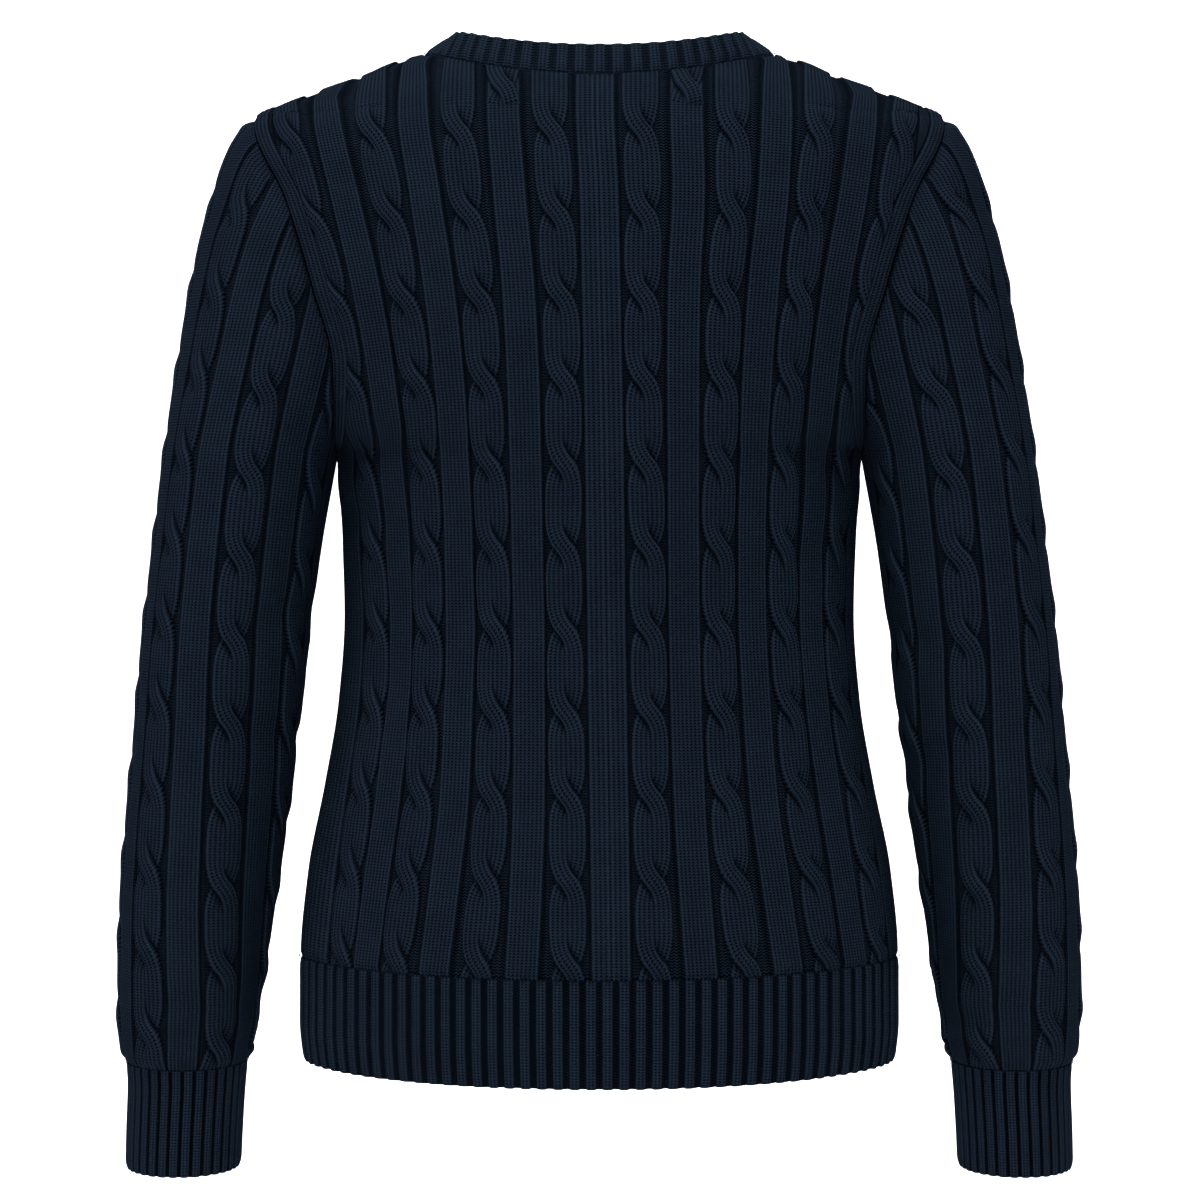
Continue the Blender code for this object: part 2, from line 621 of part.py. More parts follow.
def make_panel(name, side, material, collection):
    """One panel: its relief outside, its plain inside, and the cut edges between them."""
    heights = dense_heights()
    points, normals, distance = panel_surface(side, heights)
    places, band_limit = column_distances(heights, points, distance)
    # Seen from outside, +x is to the right of the front and to the left of the back.
    outward_turn = -1.0 if side == "back" else 1.0
    right = []
    left = []
    for column, place in zip(HALF_COLUMNS, places):
        is_edge = column.kind == "edge"
        line, outward, length = cut_line(
            side, heights, points, normals, distance, place, is_edge, False
        )
        if column.kind == "crest":
            rows = rows_for_cable(
                length[-1], BODY_FIRST_CROSSING, BODY_REPEAT, BODY_ROWS_IN_REPEAT
            )
        else:
            tolerance = EDGE_TOLERANCE if column.cable == 4 else COLUMN_TOLERANCE
            rows = rows_by_bend(line, length, tolerance, MOST_ROW_SPACING)
        wanted = np.array([row[0] for row in rows])
        base = pick(length, line, wanted)
        normal = unit(pick(length, outward, wanted))
        room = np.interp(base[:, 2], heights, band_limit - place)
        free = np.ones(len(rows)) if column.kind.startswith("band") else smooth_step(
            room / CABLE_FREE_ROOM
        )
        if is_edge:
            free = np.zeros(len(rows))
        near_top = 1 - smooth_step((length[-1] - wanted) / SEAM_FADE)
        top_rise = 0.0 if abs(base[-1, 0]) < NECK_HALF_WIDTH * 1.005 else FLAT_RISE
        for mirror in (1.0, -1.0):
            rise = np.zeros(len(rows))
            drawn_in = np.zeros(len(rows))
            for n, (_, phase) in enumerate(rows):
                if column.kind == "crest":
                    seen = column.offset * mirror * outward_turn
                    rise[n] = cable_height(seen * pinch(phase), phase)
                    out = column.offset / CABLE_HALF_WALES * CABLE_HALF
                    drawn_in[n] = out * (1 - pinch(phase))
                elif column.kind.startswith("flat"):
                    rise[n] = FLAT_RISE
                elif column.kind == "band_crest":
                    beside_arm = smooth_step((base[n, 2] - UNDERARM) / 0.02)
                    rise[n] = FLAT_RISE + (BAND_RISE - FLAT_RISE) * beside_arm
            upward = unit(np.gradient(base, axis=0))
            sideways = np.cross(normal, upward)
            sideways *= np.sign(sideways[:, :1] + 1e-12)
            if not is_edge:
                rise = rise * (1 - near_top) + top_rise * near_top
            moved = base - sideways * (drawn_in * free * (1 - near_top))[:, None]
            moved = moved + normal * (rise * free)[:, None]
            moved[:, 1] = own_side(side, moved[:, 1])
            entry = (moved if mirror > 0 else mirrored(moved), wanted)
            if mirror > 0:
                right.append(entry)
            elif column.kind != "flat":
                left.append(entry)
    outer = left[::-1] + right
    inner_right = []
    for share in INSIDE_SHARES + (1.0,):
        is_edge = share == 1.0
        if is_edge:
            place = distance[:, -1] - INSIDE_SETBACK
        else:
            tip = np.argmin(np.abs(heights - SHOULDER_TIP))
            held = np.where(heights > SHOULDER_TIP, distance[tip, -1], distance[:, -1])
            place = share * held
        line, outward, length = cut_line(
            side, heights, points, normals, distance, place, is_edge, True
        )
        rows = rows_by_bend(line, length, INSIDE_TOLERANCE, MOST_ROW_SPACING)
        wanted = np.array([row[0] for row in rows])
        inside = pick(length, line, wanted) - WALL * unit(pick(length, outward, wanted))
        inside[:, 1] = own_side(side, inside[:, 1])
        inner_right.append((inside, wanted))
    inner_left = [(mirrored(p), w) for p, w in inner_right[1:]]
    inner = inner_left[::-1] + inner_right
    wall = Wall()
    outer_lines = wall.sheet(outer)
    inner_lines = wall.sheet(inner)
    wall.close(outer_lines, inner_lines)
    return wall.build(name, material, collection)


# ---------------------------------------------------------------- ribbed pieces

def rib_lines(count):
    """Shares of the way along a band of ribs and whether each is on a crest: two crest lines and
    one valley for each rib, with a crest at both ends of the band."""
    lines = []
    for k in range(count):
        start = k / count
        crest = RIB_CREST_SHARE / count
        gap = (1 - RIB_CREST_SHARE) / count
        lines.append((start + gap / 2, True))
        lines.append((start + gap / 2 + crest, True))
        if k < count - 1:
            lines.append((start + 1 / count, False))
    return lines


def make_hem(name, side, material, collection):
    """Half the ribbed hem, from its seam with the panel down to its edge."""
    top = HEM_SEAM - SEAM_GAP
    heights = np.linspace(HEM_BOTTOM, top, 3)
    points, normals, distance = panel_surface(side, heights)
    normals[-1, :, 2] = 0.0
    normals = unit(normals)

    def at(row, share):
        """A point and its outward direction, with share from -1 at one side to 1 at the other."""
        place = abs(share) * distance[row, -1]
        point = pick(distance[row], points[row], np.array([place]))[0]
        normal = unit(pick(distance[row], normals[row], np.array([place])))[0]
        if share < 0:
            point = mirrored(point)
            normal = mirrored(normal)
        return point, normal

    outer = []
    for share, crest in [(0.0, False)] + rib_lines(HEM_RIBS) + [(1.0, False)]:
        line = []
        for row in range(3):
            point, normal = at(row, 2 * share - 1)
            line.append(point + normal * (RIB_RISE if crest else 0.0))
        outer.append((line, heights))
    inner = []
    for share in np.linspace(-1.0, 1.0, HEM_INSIDE_LINES):
        line = []
        for row in range(3):
            point, normal = at(row, share * (1 - INSIDE_SETBACK / distance[row, -1]))
            inside = point - normal * WALL
            if row == 2:
                inside = inside - np.array([0.0, 0.0, INSIDE_SETBACK])
            line.append(inside)
        inner.append((line, heights))
    wall = Wall()
    outer_lines = wall.sheet(outer)
    inner_lines = wall.sheet(inner)
    wall.close(outer_lines, inner_lines)
    return wall.build(name, material, collection)


def neck_path(side, count):
    """Points of the neck seam on one panel, from the middle to the shoulder, with the outward
    direction of the cloth at each."""
    share = 1 - (1 - np.linspace(0.0, 1.0, count)) ** 1.6
    x = share * NECK_HALF_WIDTH * 0.9995
    z = neck_seam_height(side, x)

    y = body_depth(side, x, z)
    small = 0.0008
    before = body_depth(side, np.maximum(x - small, 0.0), z)
    slope_x = (body_depth(side, x + small, z) - before) / (2 * small)
    slope_x[0] = 0.0
    slope_z = (body_depth(side, x, z + small) - body_depth(side, x, z - small)) / (2 * small)
    normal = unit(np.stack([-slope_x, np.ones(count), -slope_z], axis=1))
    sign = 1.0 if side == "back" else -1.0
    points = np.stack([x, y * sign, z], axis=1)
    normal[:, 1] *= sign
    return points, normal


def make_neckband(name, material, collection):
    """One ribbed band: up one edge of the V, round the back of the neck and down the other."""
    front, front_normal = neck_path("front", 60)
    back, back_normal = neck_path("back", 60)
    half = np.concatenate([front, back[::-1][1:]])
    half_normal = np.concatenate([front_normal, back_normal[::-1][1:]])
    path = np.concatenate([half, mirrored(half)[::-1][1:]])
    normal = np.concatenate([half_normal, mirrored(half_normal)[::-1][1:]])
    for _ in range(4):
        normal[1:-1] = unit(normal[:-2] + 2 * normal[1:-1] + normal[2:])
    tangent = unit(np.gradient(path, axis=0))
    inward = unit(np.cross(normal, tangent))
    middle = len(path) // 2
    if inward[middle, 2] < 0:
        inward = -inward
    behind = smooth_step(path[:, 1] / 0.07)
    on_shoulder = smooth_step((path[:, 2] + 0.06) / 0.05)
    lift = 1.5 * behind + 0.35 * on_shoulder
    leaning = unit(inward + lift[:, None] * np.array([0.0, 0.0, 1.0]))
    facing = unit(np.cross(tangent, leaning))
    facing *= np.sign(np.sum(facing * normal, axis=1, keepdims=True))
    places = along(path)
    ribs = round(places[-1] / NECK_RIB_PITCH)

    def across(share, width_share, rise, first):
        """A point of the band: width_share is 0 at the seam and 1 at its free edge."""
        wanted = np.array([share * places[-1]])
        point = pick(places, path, wanted)[0]
        start = unit(pick(places, inward, wanted))[0]
        lean = unit(pick(places, leaning, wanted))[0]
        face = unit(pick(places, normal if first else facing, wanted))[0]
        side = 1.0 if share < 0.5 else -1.0
        width = NECKBAND_WIDTH
        toward_middle = -lean[0] * side
        room = abs(point[0]) - SEAM_GAP / 2
        if toward_middle > 1e-6:
            width = min(width, max(room, 0.0) / toward_middle)
        width = max(width, NECKBAND_LEAST_WIDTH)
        placed = point + start * SEAM_GAP + lean * (width * width_share) + face * rise
        if room < 0.03:
            placed[0] = side * max(placed[0] * side, SEAM_GAP / 2)
        return placed

    margin = NECKBAND_END_SHARE
    outer = []
    for share, crest in [(0.0, False)] + rib_lines(ribs) + [(1.0, False)]:
        share = margin + share * (1 - 2 * margin)
        rise = RIB_RISE if crest else 0.0
        line = [across(share, w, rise, w == 0.0) for w in (0.0, 0.5, 1.0)]
        outer.append((line, np.array([0.0, 0.5, 1.0])))
    inner = []
    for share in np.linspace(0.0, 1.0, NECKBAND_INSIDE_LINES):
        share = margin + share * (1 - 2 * margin)
        line = [
            across(share, w, -WALL, w == setback)
            for w, setback in ((INSIDE_SETBACK / NECKBAND_WIDTH, 0), (0.5, 0), (1.0, 0))
        ]
        inner.append((line, np.array([0.0, 0.5, 1.0])))
    wall = Wall()
    outer_lines = wall.sheet(outer)
    inner_lines = wall.sheet(inner)
    wall.close(outer_lines, inner_lines)
    return wall.build(name, material, collection)


# ---------------------------------------------------------------- sleeves and cuffs

SLEEVE_SHIFT = 0.0004        # keeps a sleeve's first row clear of the armhole


def sleeve_surface(heights):
    """Half a sleeve, from its outer line round the back to the armhole or the underarm seam."""
    middle, half_width, half_depth = sleeve_slice(heights)
    near = np.where(heights > UNDERARM, edge_at(heights), inner_at(heights))
    across = np.clip((near - middle) / np.maximum(half_width, 1e-9), -1.0, 1.0)
    last = np.arccos(across)
    turn = np.linspace(0.0, 1.0, SLICE_STEPS)[None, :] * last[:, None]
    x = middle[:, None] + half_width[:, None] * np.cos(turn) + SLEEVE_SHIFT
    y = half_depth[:, None] * np.sin(turn)
    z = np.broadcast_to(heights[:, None], x.shape)
    points = np.stack([x, y, z], axis=-1)
    around = np.gradient(points, axis=1)
    upward = np.gradient(points, heights, axis=0)
    normals = unit(np.cross(around, upward))
    normals[:, 0, 1] = 0.0
    normals[heights <= UNDERARM, -1, 1] = 0.0
    normals = unit(normals)
    steps = np.linalg.norm(np.diff(points, axis=1), axis=2)
    distance = np.concatenate([np.zeros((len(heights), 1)), np.cumsum(steps, axis=1)], axis=1)
    return points, normals, distance


def sleeve_columns():
    """Half a sleeve's columns with their distance from its outer line."""
    gap = (SLEEVE_PITCH - 2 * CABLE_HALF - 2 * FLAT_HALF) / 4
    crest = CREST_WALES / CABLE_HALF_WALES * CABLE_HALF
    columns = [(Column("crest", 0, 0.0), 0.0)]
    for k in range(SLEEVE_CABLES + 1):
        middle = k * SLEEVE_PITCH
        if k > 0:
            columns += [
                (Column("flat_edge", k, 0.0), middle - CABLE_HALF - 2 * gap),
                (Column("groove", k, 0.0), middle - CABLE_HALF - gap),
                (Column("crest", k, -CREST_WALES), middle - crest),
                (Column("crest", k, 0.0), middle),
            ]
        columns += [
            (Column("crest", k, CREST_WALES), middle + crest),
            (Column("groove", k, 0.0), middle + CABLE_HALF + gap),
            (Column("flat_edge", k, 0.0), middle + CABLE_HALF + 2 * gap),
        ]
    columns.append((Column("seam", 0, 0.0), 1.0))
    return columns


def sleeve_line(heights, points, normals, distance, wanted_distance, after, setback):
    """The dense line of one sleeve column from the cuff seam up to the armhole."""
    limit = distance[:, -1] - LEAST_SPACING * after
    place = np.minimum(wanted_distance, limit)
    count = len(heights)
    line = np.zeros((count, 3))
    outward = np.zeros((count, 3))
    for i in range(count):
        share = np.interp(max(place[i], 0.0), distance[i], np.arange(SLICE_STEPS))
        low = min(int(share), SLICE_STEPS - 2)
        t = share - low
        line[i] = points[i, low] * (1 - t) + points[i, low + 1] * t
        outward[i] = normals[i, low] * (1 - t) + normals[i, low + 1] * t
    room = distance[:, -1] - wanted_distance
    stop = count
    for i in range(1, count):
        if heights[i] >= UNDERARM and room[i] <= 0:
            stop = i
            break
    if stop < count:
        i = stop
        if heights[i - 1] >= UNDERARM and room[i - 1] > 0:
            t = room[i - 1] / (room[i - 1] - room[i])
            last = line[i - 1] * (1 - t) + line[i] * t
            last_outward = outward[i - 1] * (1 - t) + outward[i] * t
            line = np.concatenate([line[:i], [last]])
            outward = np.concatenate([outward[:i], [last_outward]])
        else:
            line = line[: i + 1]
            outward = outward[: i + 1]
    outward = unit(outward)
    outward[-1, 0] = min(outward[-1, 0], 0.0)
    outward[0, 2] = 0.0
    outward = unit(outward)
    line[:, 1] -= forward_at(line[:, 2])
    places = along(line)
    if setback:
        keep = np.linspace(INSIDE_SETBACK, places[-1] - INSIDE_SETBACK, len(places))
        line = pick(places, line, keep)
        outward = unit(pick(places, outward, keep))
        places = along(line)
    room_left = np.interp(line[:, 2], heights, distance[:, -1] - wanted_distance)
    return line, outward, places, room_left


def make_sleeve(name, side, material, collection):
    heights = np.concatenate([
        np.linspace(CUFF_SEAM, FIRST_DENSE_HEIGHT, 240),
        np.linspace(FIRST_DENSE_HEIGHT, SHOULDER_TIP - 0.0001, 60)[1:],
    ])
    heights = np.sort(np.append(heights, UNDERARM))
    points, normals, distance = sleeve_surface(heights)
    columns = sleeve_columns()
    back = []
    front = []
    for n, (column, wanted_distance) in enumerate(columns):
        after = len(columns) - 1 - n
        line, outward, length, room = sleeve_line(
            heights, points, normals, distance, wanted_distance, after, False
        )
        if column.kind == "crest":
            rows = rows_for_cable(
                length[-1], SLEEVE_FIRST_CROSSING, SLEEVE_REPEAT, SLEEVE_ROWS_IN_REPEAT
            )
        else:
            rows = rows_by_bend(line, length, COLUMN_TOLERANCE, MOST_ROW_SPACING)
        wanted = np.array([row[0] for row in rows])
        base = pick(length, line, wanted)
        normal = unit(pick(length, outward, wanted))
        free = smooth_step(np.interp(wanted, length, room) / SLEEVE_FREE_ROOM)
        free *= smooth_step((length[-1] - wanted) / SLEEVE_SEAM_FADE)
        if column.kind == "seam":
            free = np.zeros(len(rows))
        for half in (1.0, -1.0):
            rise = np.zeros(len(rows))
            drawn_in = np.zeros(len(rows))
            for i, (_, phase) in enumerate(rows):
                if column.kind == "crest":
                    # From outside, the back half of the wearer's left sleeve runs to the right.
                    # The cables of both sleeves cross the same way.
                    seen = column.offset * half * (1.0 if side == "left" else -1.0)
                    rise[i] = cable_height(seen * pinch(phase), phase)
                    out = column.offset / CABLE_HALF_WALES * CABLE_HALF
                    drawn_in[i] = out * (1 - pinch(phase))
                elif column.kind == "flat_edge":
                    rise[i] = FLAT_RISE
            upward = unit(np.gradient(base, axis=0))
            sideways = np.cross(normal, upward)
            if column.offset != 0.0:
                sideways *= np.sign(np.sum(sideways * np.array([-1.0, 0.3, 0.0]), axis=1))[:, None]
            moved = base - sideways * (drawn_in * free)[:, None]
            moved = moved + normal * (rise * free)[:, None]
            if half < 0:
                shift = forward_at(moved[:, 2])
                moved = moved.copy()
                moved[:, 1] = -(moved[:, 1] + shift) - shift
            entry = (moved, wanted)
            is_shared = column.kind == "seam" or (column.kind == "crest" and wanted_distance == 0.0)
            if half > 0:
                back.append(entry)
            elif not is_shared:
                front.append(entry)
    outer = back + front[::-1]
    inner_back = []
    inner_front = []
    for n, wanted_distance in enumerate(SLEEVE_INSIDE_PLACES):
        after = len(SLEEVE_INSIDE_PLACES) - 1 - n
        line, outward, length, _ = sleeve_line(
            heights, points, normals, distance, wanted_distance, 4 * after, True
        )
        rows = rows_by_bend(line, length, INSIDE_TOLERANCE, MOST_ROW_SPACING)
        wanted = np.array([row[0] for row in rows])
        inside = pick(length, line, wanted) - WALL * unit(pick(length, outward, wanted))
        inner_back.append((inside, wanted))
        if n not in (0, len(SLEEVE_INSIDE_PLACES) - 1):
            shift = forward_at(inside[:, 2])
            other = inside.copy()
            other[:, 1] = -(inside[:, 1] + shift) - shift
            inner_front.append((other, wanted))
    inner = inner_back + inner_front[::-1]
    if side == "right":
        outer = [(mirrored(p), w) for p, w in outer]
        inner = [(mirrored(p), w) for p, w in inner]
    wall = Wall()
    outer_lines = wall.sheet(outer, closed=True)
    inner_lines = wall.sheet(inner, closed=True)
    wall.close(outer_lines, inner_lines, closed=True)
    return wall.build(name, material, collection)


def make_cuff(name, side, material, collection):
    heights = np.array([CUFF_BOTTOM, (CUFF_BOTTOM + CUFF_SEAM) / 2, CUFF_SEAM - SEAM_GAP])
    points, normals, distance = sleeve_surface(heights)
    normals[-1, :, 2] = 0.0
    normals = unit(normals)

    def at(row, share):
        turn = 2 * share if share <= 0.5 else 2 - 2 * share
        place = np.array([turn * distance[row, -1]])
        point = pick(distance[row], points[row], place)[0]
        normal = unit(pick(distance[row], normals[row], place))[0]
        if share > 0.5:
            point = point * np.array([1.0, -1.0, 1.0])
            normal = normal * np.array([1.0, -1.0, 1.0])
        point = point - np.array([0.0, float(forward_at(point[2])), 0.0])
        if side == "right":
            point = mirrored(point)
            normal = mirrored(normal)
        return point, normal

    outer = []
    for share, crest in rib_lines(CUFF_RIBS) + [(1.0, False)]:
        line = []
        for row in range(3):
            point, normal = at(row, share % 1.0)
            line.append(point + normal * (RIB_RISE if crest else 0.0))
        outer.append((line, heights))
    inner = []
    count = CUFF_INSIDE_LINES
    for k in range(count):
        line = []
        for row in range(3):
            point, normal = at(row, k / count)
            inside = point - normal * WALL
            if row == 2:
                inside = inside - np.array([0.0, 0.0, INSIDE_SETBACK])
            line.append(inside)
        inner.append((line, heights))
    wall = Wall()
    outer_lines = wall.sheet(outer, closed=True)
    inner_lines = wall.sheet(inner, closed=True)
    wall.close(outer_lines, inner_lines, closed=True)
    return wall.build(name, material, collection)


# ---------------------------------------------------------------- the garment

def knit_material(name, colour, roughness):
    material = bpy.data.materials.new(name)
    material.use_nodes = True
    shader = material.node_tree.nodes["Principled BSDF"]
    shader.inputs["Base Color"].default_value = (*colour, 1.0)
    shader.inputs["Roughness"].default_value = roughness
    shader.inputs["Metallic"].default_value = 0.0
    return material


def main():
    for old in list(bpy.data.objects):
        bpy.data.objects.remove(old, do_unlink=True)
    collection = bpy.data.collections.new("cable_knit_sweater")
    bpy.context.scene.collection.children.link(collection)
    navy = knit_material("navy_cable_knit", (0.0070, 0.0110, 0.0190), 0.85)
    ribbed = knit_material("navy_rib_knit", (0.0060, 0.0095, 0.0165), 0.85)
    make_panel("body_back", "back", navy, collection)
    make_panel("body_front", "front", navy, collection)
    make_hem("hem_rib_back", "back", ribbed, collection)
    make_hem("hem_rib_front", "front", ribbed, collection)
    make_neckband("neckband", ribbed, collection)
    for side in ("left", "right"):
        make_sleeve(f"sleeve_{side}", side, navy, collection)
        make_cuff(f"cuff_{side}", side, ribbed, collection)


main()
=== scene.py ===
# %% [markdown]
# # A cable knit V-neck sweater, filled out as it is worn
# This lesson dresses a plain hollow model of a sweater in its knitting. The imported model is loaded
# first as a fixed frame. Every piece made later lies on the same curved forms as its solid, so that
# it stays where the solid is.

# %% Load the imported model
import math
from collections import namedtuple

import bmesh
import bpy
import numpy as np
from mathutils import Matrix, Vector


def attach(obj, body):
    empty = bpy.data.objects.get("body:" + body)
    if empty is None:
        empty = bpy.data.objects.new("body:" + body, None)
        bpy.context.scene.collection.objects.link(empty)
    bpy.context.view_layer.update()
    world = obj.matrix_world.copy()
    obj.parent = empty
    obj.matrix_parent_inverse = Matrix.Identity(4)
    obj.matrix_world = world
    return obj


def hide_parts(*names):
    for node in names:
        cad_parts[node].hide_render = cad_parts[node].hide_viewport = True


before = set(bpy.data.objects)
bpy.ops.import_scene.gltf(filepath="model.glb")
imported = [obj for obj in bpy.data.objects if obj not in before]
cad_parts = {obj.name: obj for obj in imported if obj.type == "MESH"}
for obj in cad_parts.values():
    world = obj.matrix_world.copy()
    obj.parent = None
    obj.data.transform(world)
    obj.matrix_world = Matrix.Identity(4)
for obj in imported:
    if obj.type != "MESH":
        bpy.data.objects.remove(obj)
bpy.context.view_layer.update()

# %% [markdown]
# ## Sizes of the garment
# A knitter plans a sweater from a few heights and widths. The tables give the edge of a panel, where
# its cables stand, how deep the body is, and the outline of a sleeve. Each row is one height.

# %% Heights, widths and knitting sizes
WALL = 0.0025
SEAM_GAP = 0.0003
INNER_STEP = 0.0012          # how far short of its outer edge the inside of a wall ends
HEM_SEAM = -0.5340
HEM_BOTTOM = -0.5960
SHOULDER_TIP = -0.0413
UNDERARM = -0.2360
CUFF_SEAM = -0.5975
CUFF_BOTTOM = -0.6610
NECK_HALF_WIDTH = 0.1034
NECK_CORNER = -0.0035
BACK_NECK = -0.0230
V_POINT = -0.1750
NECKBAND_WIDTH = 0.0180

WALE = 0.0024                # from one column of stitches to the next
COURSE = 0.0017              # from one row of stitches to the next
CABLE_HALF = 0.0105
FLAT_HALF = 0.0096
CENTRE_FLAT_HALF = 0.0112
LEAST_GROOVE = 0.0007
ARMHOLE_BAND = 0.0120
CABLE_RISE = 0.0025
CROSSING_RISE = 0.0011
UNDER_DROP = 0.0017
FLAT_RISE = 0.0010
BAND_RISE = 0.0015
GROOVE_DEPTH = 0.0006
WALE_RIDGE = 0.00022
BODY_REPEAT = 0.0470
BODY_FIRST_CROSSING = 0.0085
SLEEVE_REPEAT = 0.0477
SLEEVE_FIRST_CROSSING = 0.0285
SLEEVE_SLANT = 0.25          # how much lower a cable crosses for each metre in from the outer line
SLEEVE_PITCH = 0.0460
SLEEVE_CABLES = 3
UPPER_ARM_DEPTH = 0.0600
CAP_CENTRE_SHARE = 0.5
CAP_ROUNDNESS = 2.5
SLEEVE_SHIFT = 0.0004
HEM_RIBS = 46                # on each half of the hem
CUFF_RIBS = 33
NECK_RIB_PITCH = 0.0110
RIB_RISE = 0.0019

# %% Tables of the garment's outline
EdgeRow = namedtuple("EdgeRow", "height half_width")
EDGE = [
    EdgeRow(0.0060, 0.0200),
    EdgeRow(0.0040, 0.0600),
    EdgeRow(0.0000, 0.0860),
    EdgeRow(NECK_CORNER, NECK_HALF_WIDTH),
    EdgeRow(-0.0075, 0.1200),
    EdgeRow(-0.0148, 0.1370),
    EdgeRow(-0.0236, 0.1624),
    EdgeRow(-0.0325, 0.1860),
    EdgeRow(SHOULDER_TIP, 0.2024),
    EdgeRow(-0.0915, 0.1808),
    EdgeRow(-0.1416, 0.1650),
    EdgeRow(-0.1888, 0.1535),
    EdgeRow(UNDERARM, 0.1546),
    EdgeRow(-0.2862, 0.1507),
    EdgeRow(-0.3334, 0.1493),
    EdgeRow(-0.3835, 0.1528),
    EdgeRow(-0.4337, 0.1611),
    EdgeRow(-0.4838, 0.1708),
    EdgeRow(HEM_SEAM, 0.1752),
    EdgeRow(-0.5720, 0.1752),
    EdgeRow(HEM_BOTTOM, 0.1728),
]
ColumnRow = namedtuple("ColumnRow", "height cable_1 cable_2 cable_3 cable_4 drift")
COLUMNS = [
    ColumnRow(0.0060, 0.0262, 0.0783, 0.1300, 0.1930, 0.0025),
    ColumnRow(-0.0413, 0.0255, 0.0778, 0.1285, 0.1800, 0.0025),
    ColumnRow(-0.0915, 0.0248, 0.0755, 0.1208, 0.1680, 0.0002),
    ColumnRow(-0.1416, 0.0233, 0.0698, 0.1132, 0.1543, -0.0010),
    ColumnRow(-0.1888, 0.0225, 0.0670, 0.1070, 0.1456, -0.0020),
    ColumnRow(-0.2360, 0.0226, 0.0653, 0.1031, 0.1401, -0.0028),
    ColumnRow(-0.2862, 0.0235, 0.0637, 0.1016, 0.1354, -0.0034),
    ColumnRow(-0.3334, 0.0235, 0.0637, 0.1015, 0.1325, -0.0040),
    ColumnRow(-0.3835, 0.0235, 0.0643, 0.1043, 0.1355, -0.0047),
    ColumnRow(-0.4337, 0.0235, 0.0662, 0.1080, 0.1430, -0.0055),
    ColumnRow(-0.4838, 0.0239, 0.0704, 0.1159, 0.1500, -0.0062),
    ColumnRow(HEM_SEAM, 0.0244, 0.0762, 0.1235, 0.1560, -0.0068),
]
DepthRow = namedtuple("DepthRow", "height back front fullness edge_power")
DEPTHS = [
    DepthRow(0.0060, 0.0400, 0.0400, 2.2, 1.05),
    DepthRow(-0.0060, 0.0560, 0.0560, 2.2, 1.05),
    DepthRow(-0.0230, 0.0740, 0.0740, 2.2, 1.05),
    DepthRow(-0.0413, 0.0860, 0.0860, 2.2, 1.05),
    DepthRow(-0.0915, 0.0970, 0.0990, 2.1, 1.05),
    DepthRow(-0.1416, 0.1000, 0.1080, 2.1, 1.05),
    DepthRow(-0.1888, 0.1010, 0.1130, 2.0, 1.15),
    DepthRow(-0.2360, 0.1000, 0.1120, 1.9, 1.40),
    DepthRow(-0.2862, 0.0950, 0.1050, 1.75, 1.50),
    DepthRow(-0.3334, 0.0910, 0.0980, 1.70, 1.50),
    DepthRow(-0.3835, 0.0910, 0.0960, 1.75, 1.50),
    DepthRow(-0.4337, 0.0940, 0.0970, 1.85, 1.50),
    DepthRow(-0.4838, 0.0980, 0.0990, 2.00, 1.50),
    DepthRow(HEM_SEAM, 0.1000, 0.1000, 2.10, 1.50),
    DepthRow(HEM_BOTTOM, 0.0980, 0.0980, 2.10, 1.55),
]
SleeveRow = namedtuple("SleeveRow", "height inner outer half_depth forward")
SLEEVE = [
    SleeveRow(SHOULDER_TIP, 0.2024, 0.2024, 0.0, 0.0),
    SleeveRow(-0.0430, 0.0, 0.2055, 0.0, 0.0),
    SleeveRow(-0.0500, 0.0, 0.2100, 0.0, 0.0),
    SleeveRow(-0.0590, 0.0, 0.2155, 0.0, 0.0),
    SleeveRow(-0.0770, 0.0, 0.2226, 0.0, 0.0),
    SleeveRow(-0.0944, 0.0, 0.2274, 0.0, 0.0),
    SleeveRow(-0.1121, 0.0, 0.2326, 0.0, 0.0),
    SleeveRow(-0.1475, 0.0, 0.2397, 0.0, 0.0),
    SleeveRow(-0.1830, 0.0, 0.2456, 0.0, 0.0),
    SleeveRow(UNDERARM, 0.1546, 0.2535, UPPER_ARM_DEPTH, 0.0),
    SleeveRow(-0.2980, 0.1655, 0.2612, 0.0590, 0.0010),
    SleeveRow(-0.3510, 0.1722, 0.2675, 0.0570, 0.0025),
    SleeveRow(-0.4042, 0.1792, 0.2722, 0.0540, 0.0045),
    SleeveRow(-0.4573, 0.1869, 0.2775, 0.0510, 0.0070),
    SleeveRow(-0.5104, 0.1950, 0.2815, 0.0480, 0.0095),
    SleeveRow(-0.5635, 0.2025, 0.2828, 0.0445, 0.0120),
    SleeveRow(-0.5900, 0.2068, 0.2812, 0.0415, 0.0130),
    SleeveRow(CUFF_SEAM, 0.2095, 0.2790, 0.0390, 0.0133),
    SleeveRow(-0.6100, 0.2110, 0.2780, 0.0375, 0.0138),
    SleeveRow(-0.6400, 0.2130, 0.2790, 0.0370, 0.0145),
    SleeveRow(CUFF_BOTTOM, 0.2140, 0.2795, 0.0372, 0.0150),
]
print("tables:", len(EDGE), "edge rows,", len(COLUMNS), "cable rows,", len(SLEEVE), "sleeve rows")


# %% [markdown]
# ## Smooth forms through the tables
# A curve through a table must not overshoot, or a straight side seam would ripple. A monotone cubic
# keeps between its rows. The body is a stack of level slices, and a sleeve is a stack of ovals.

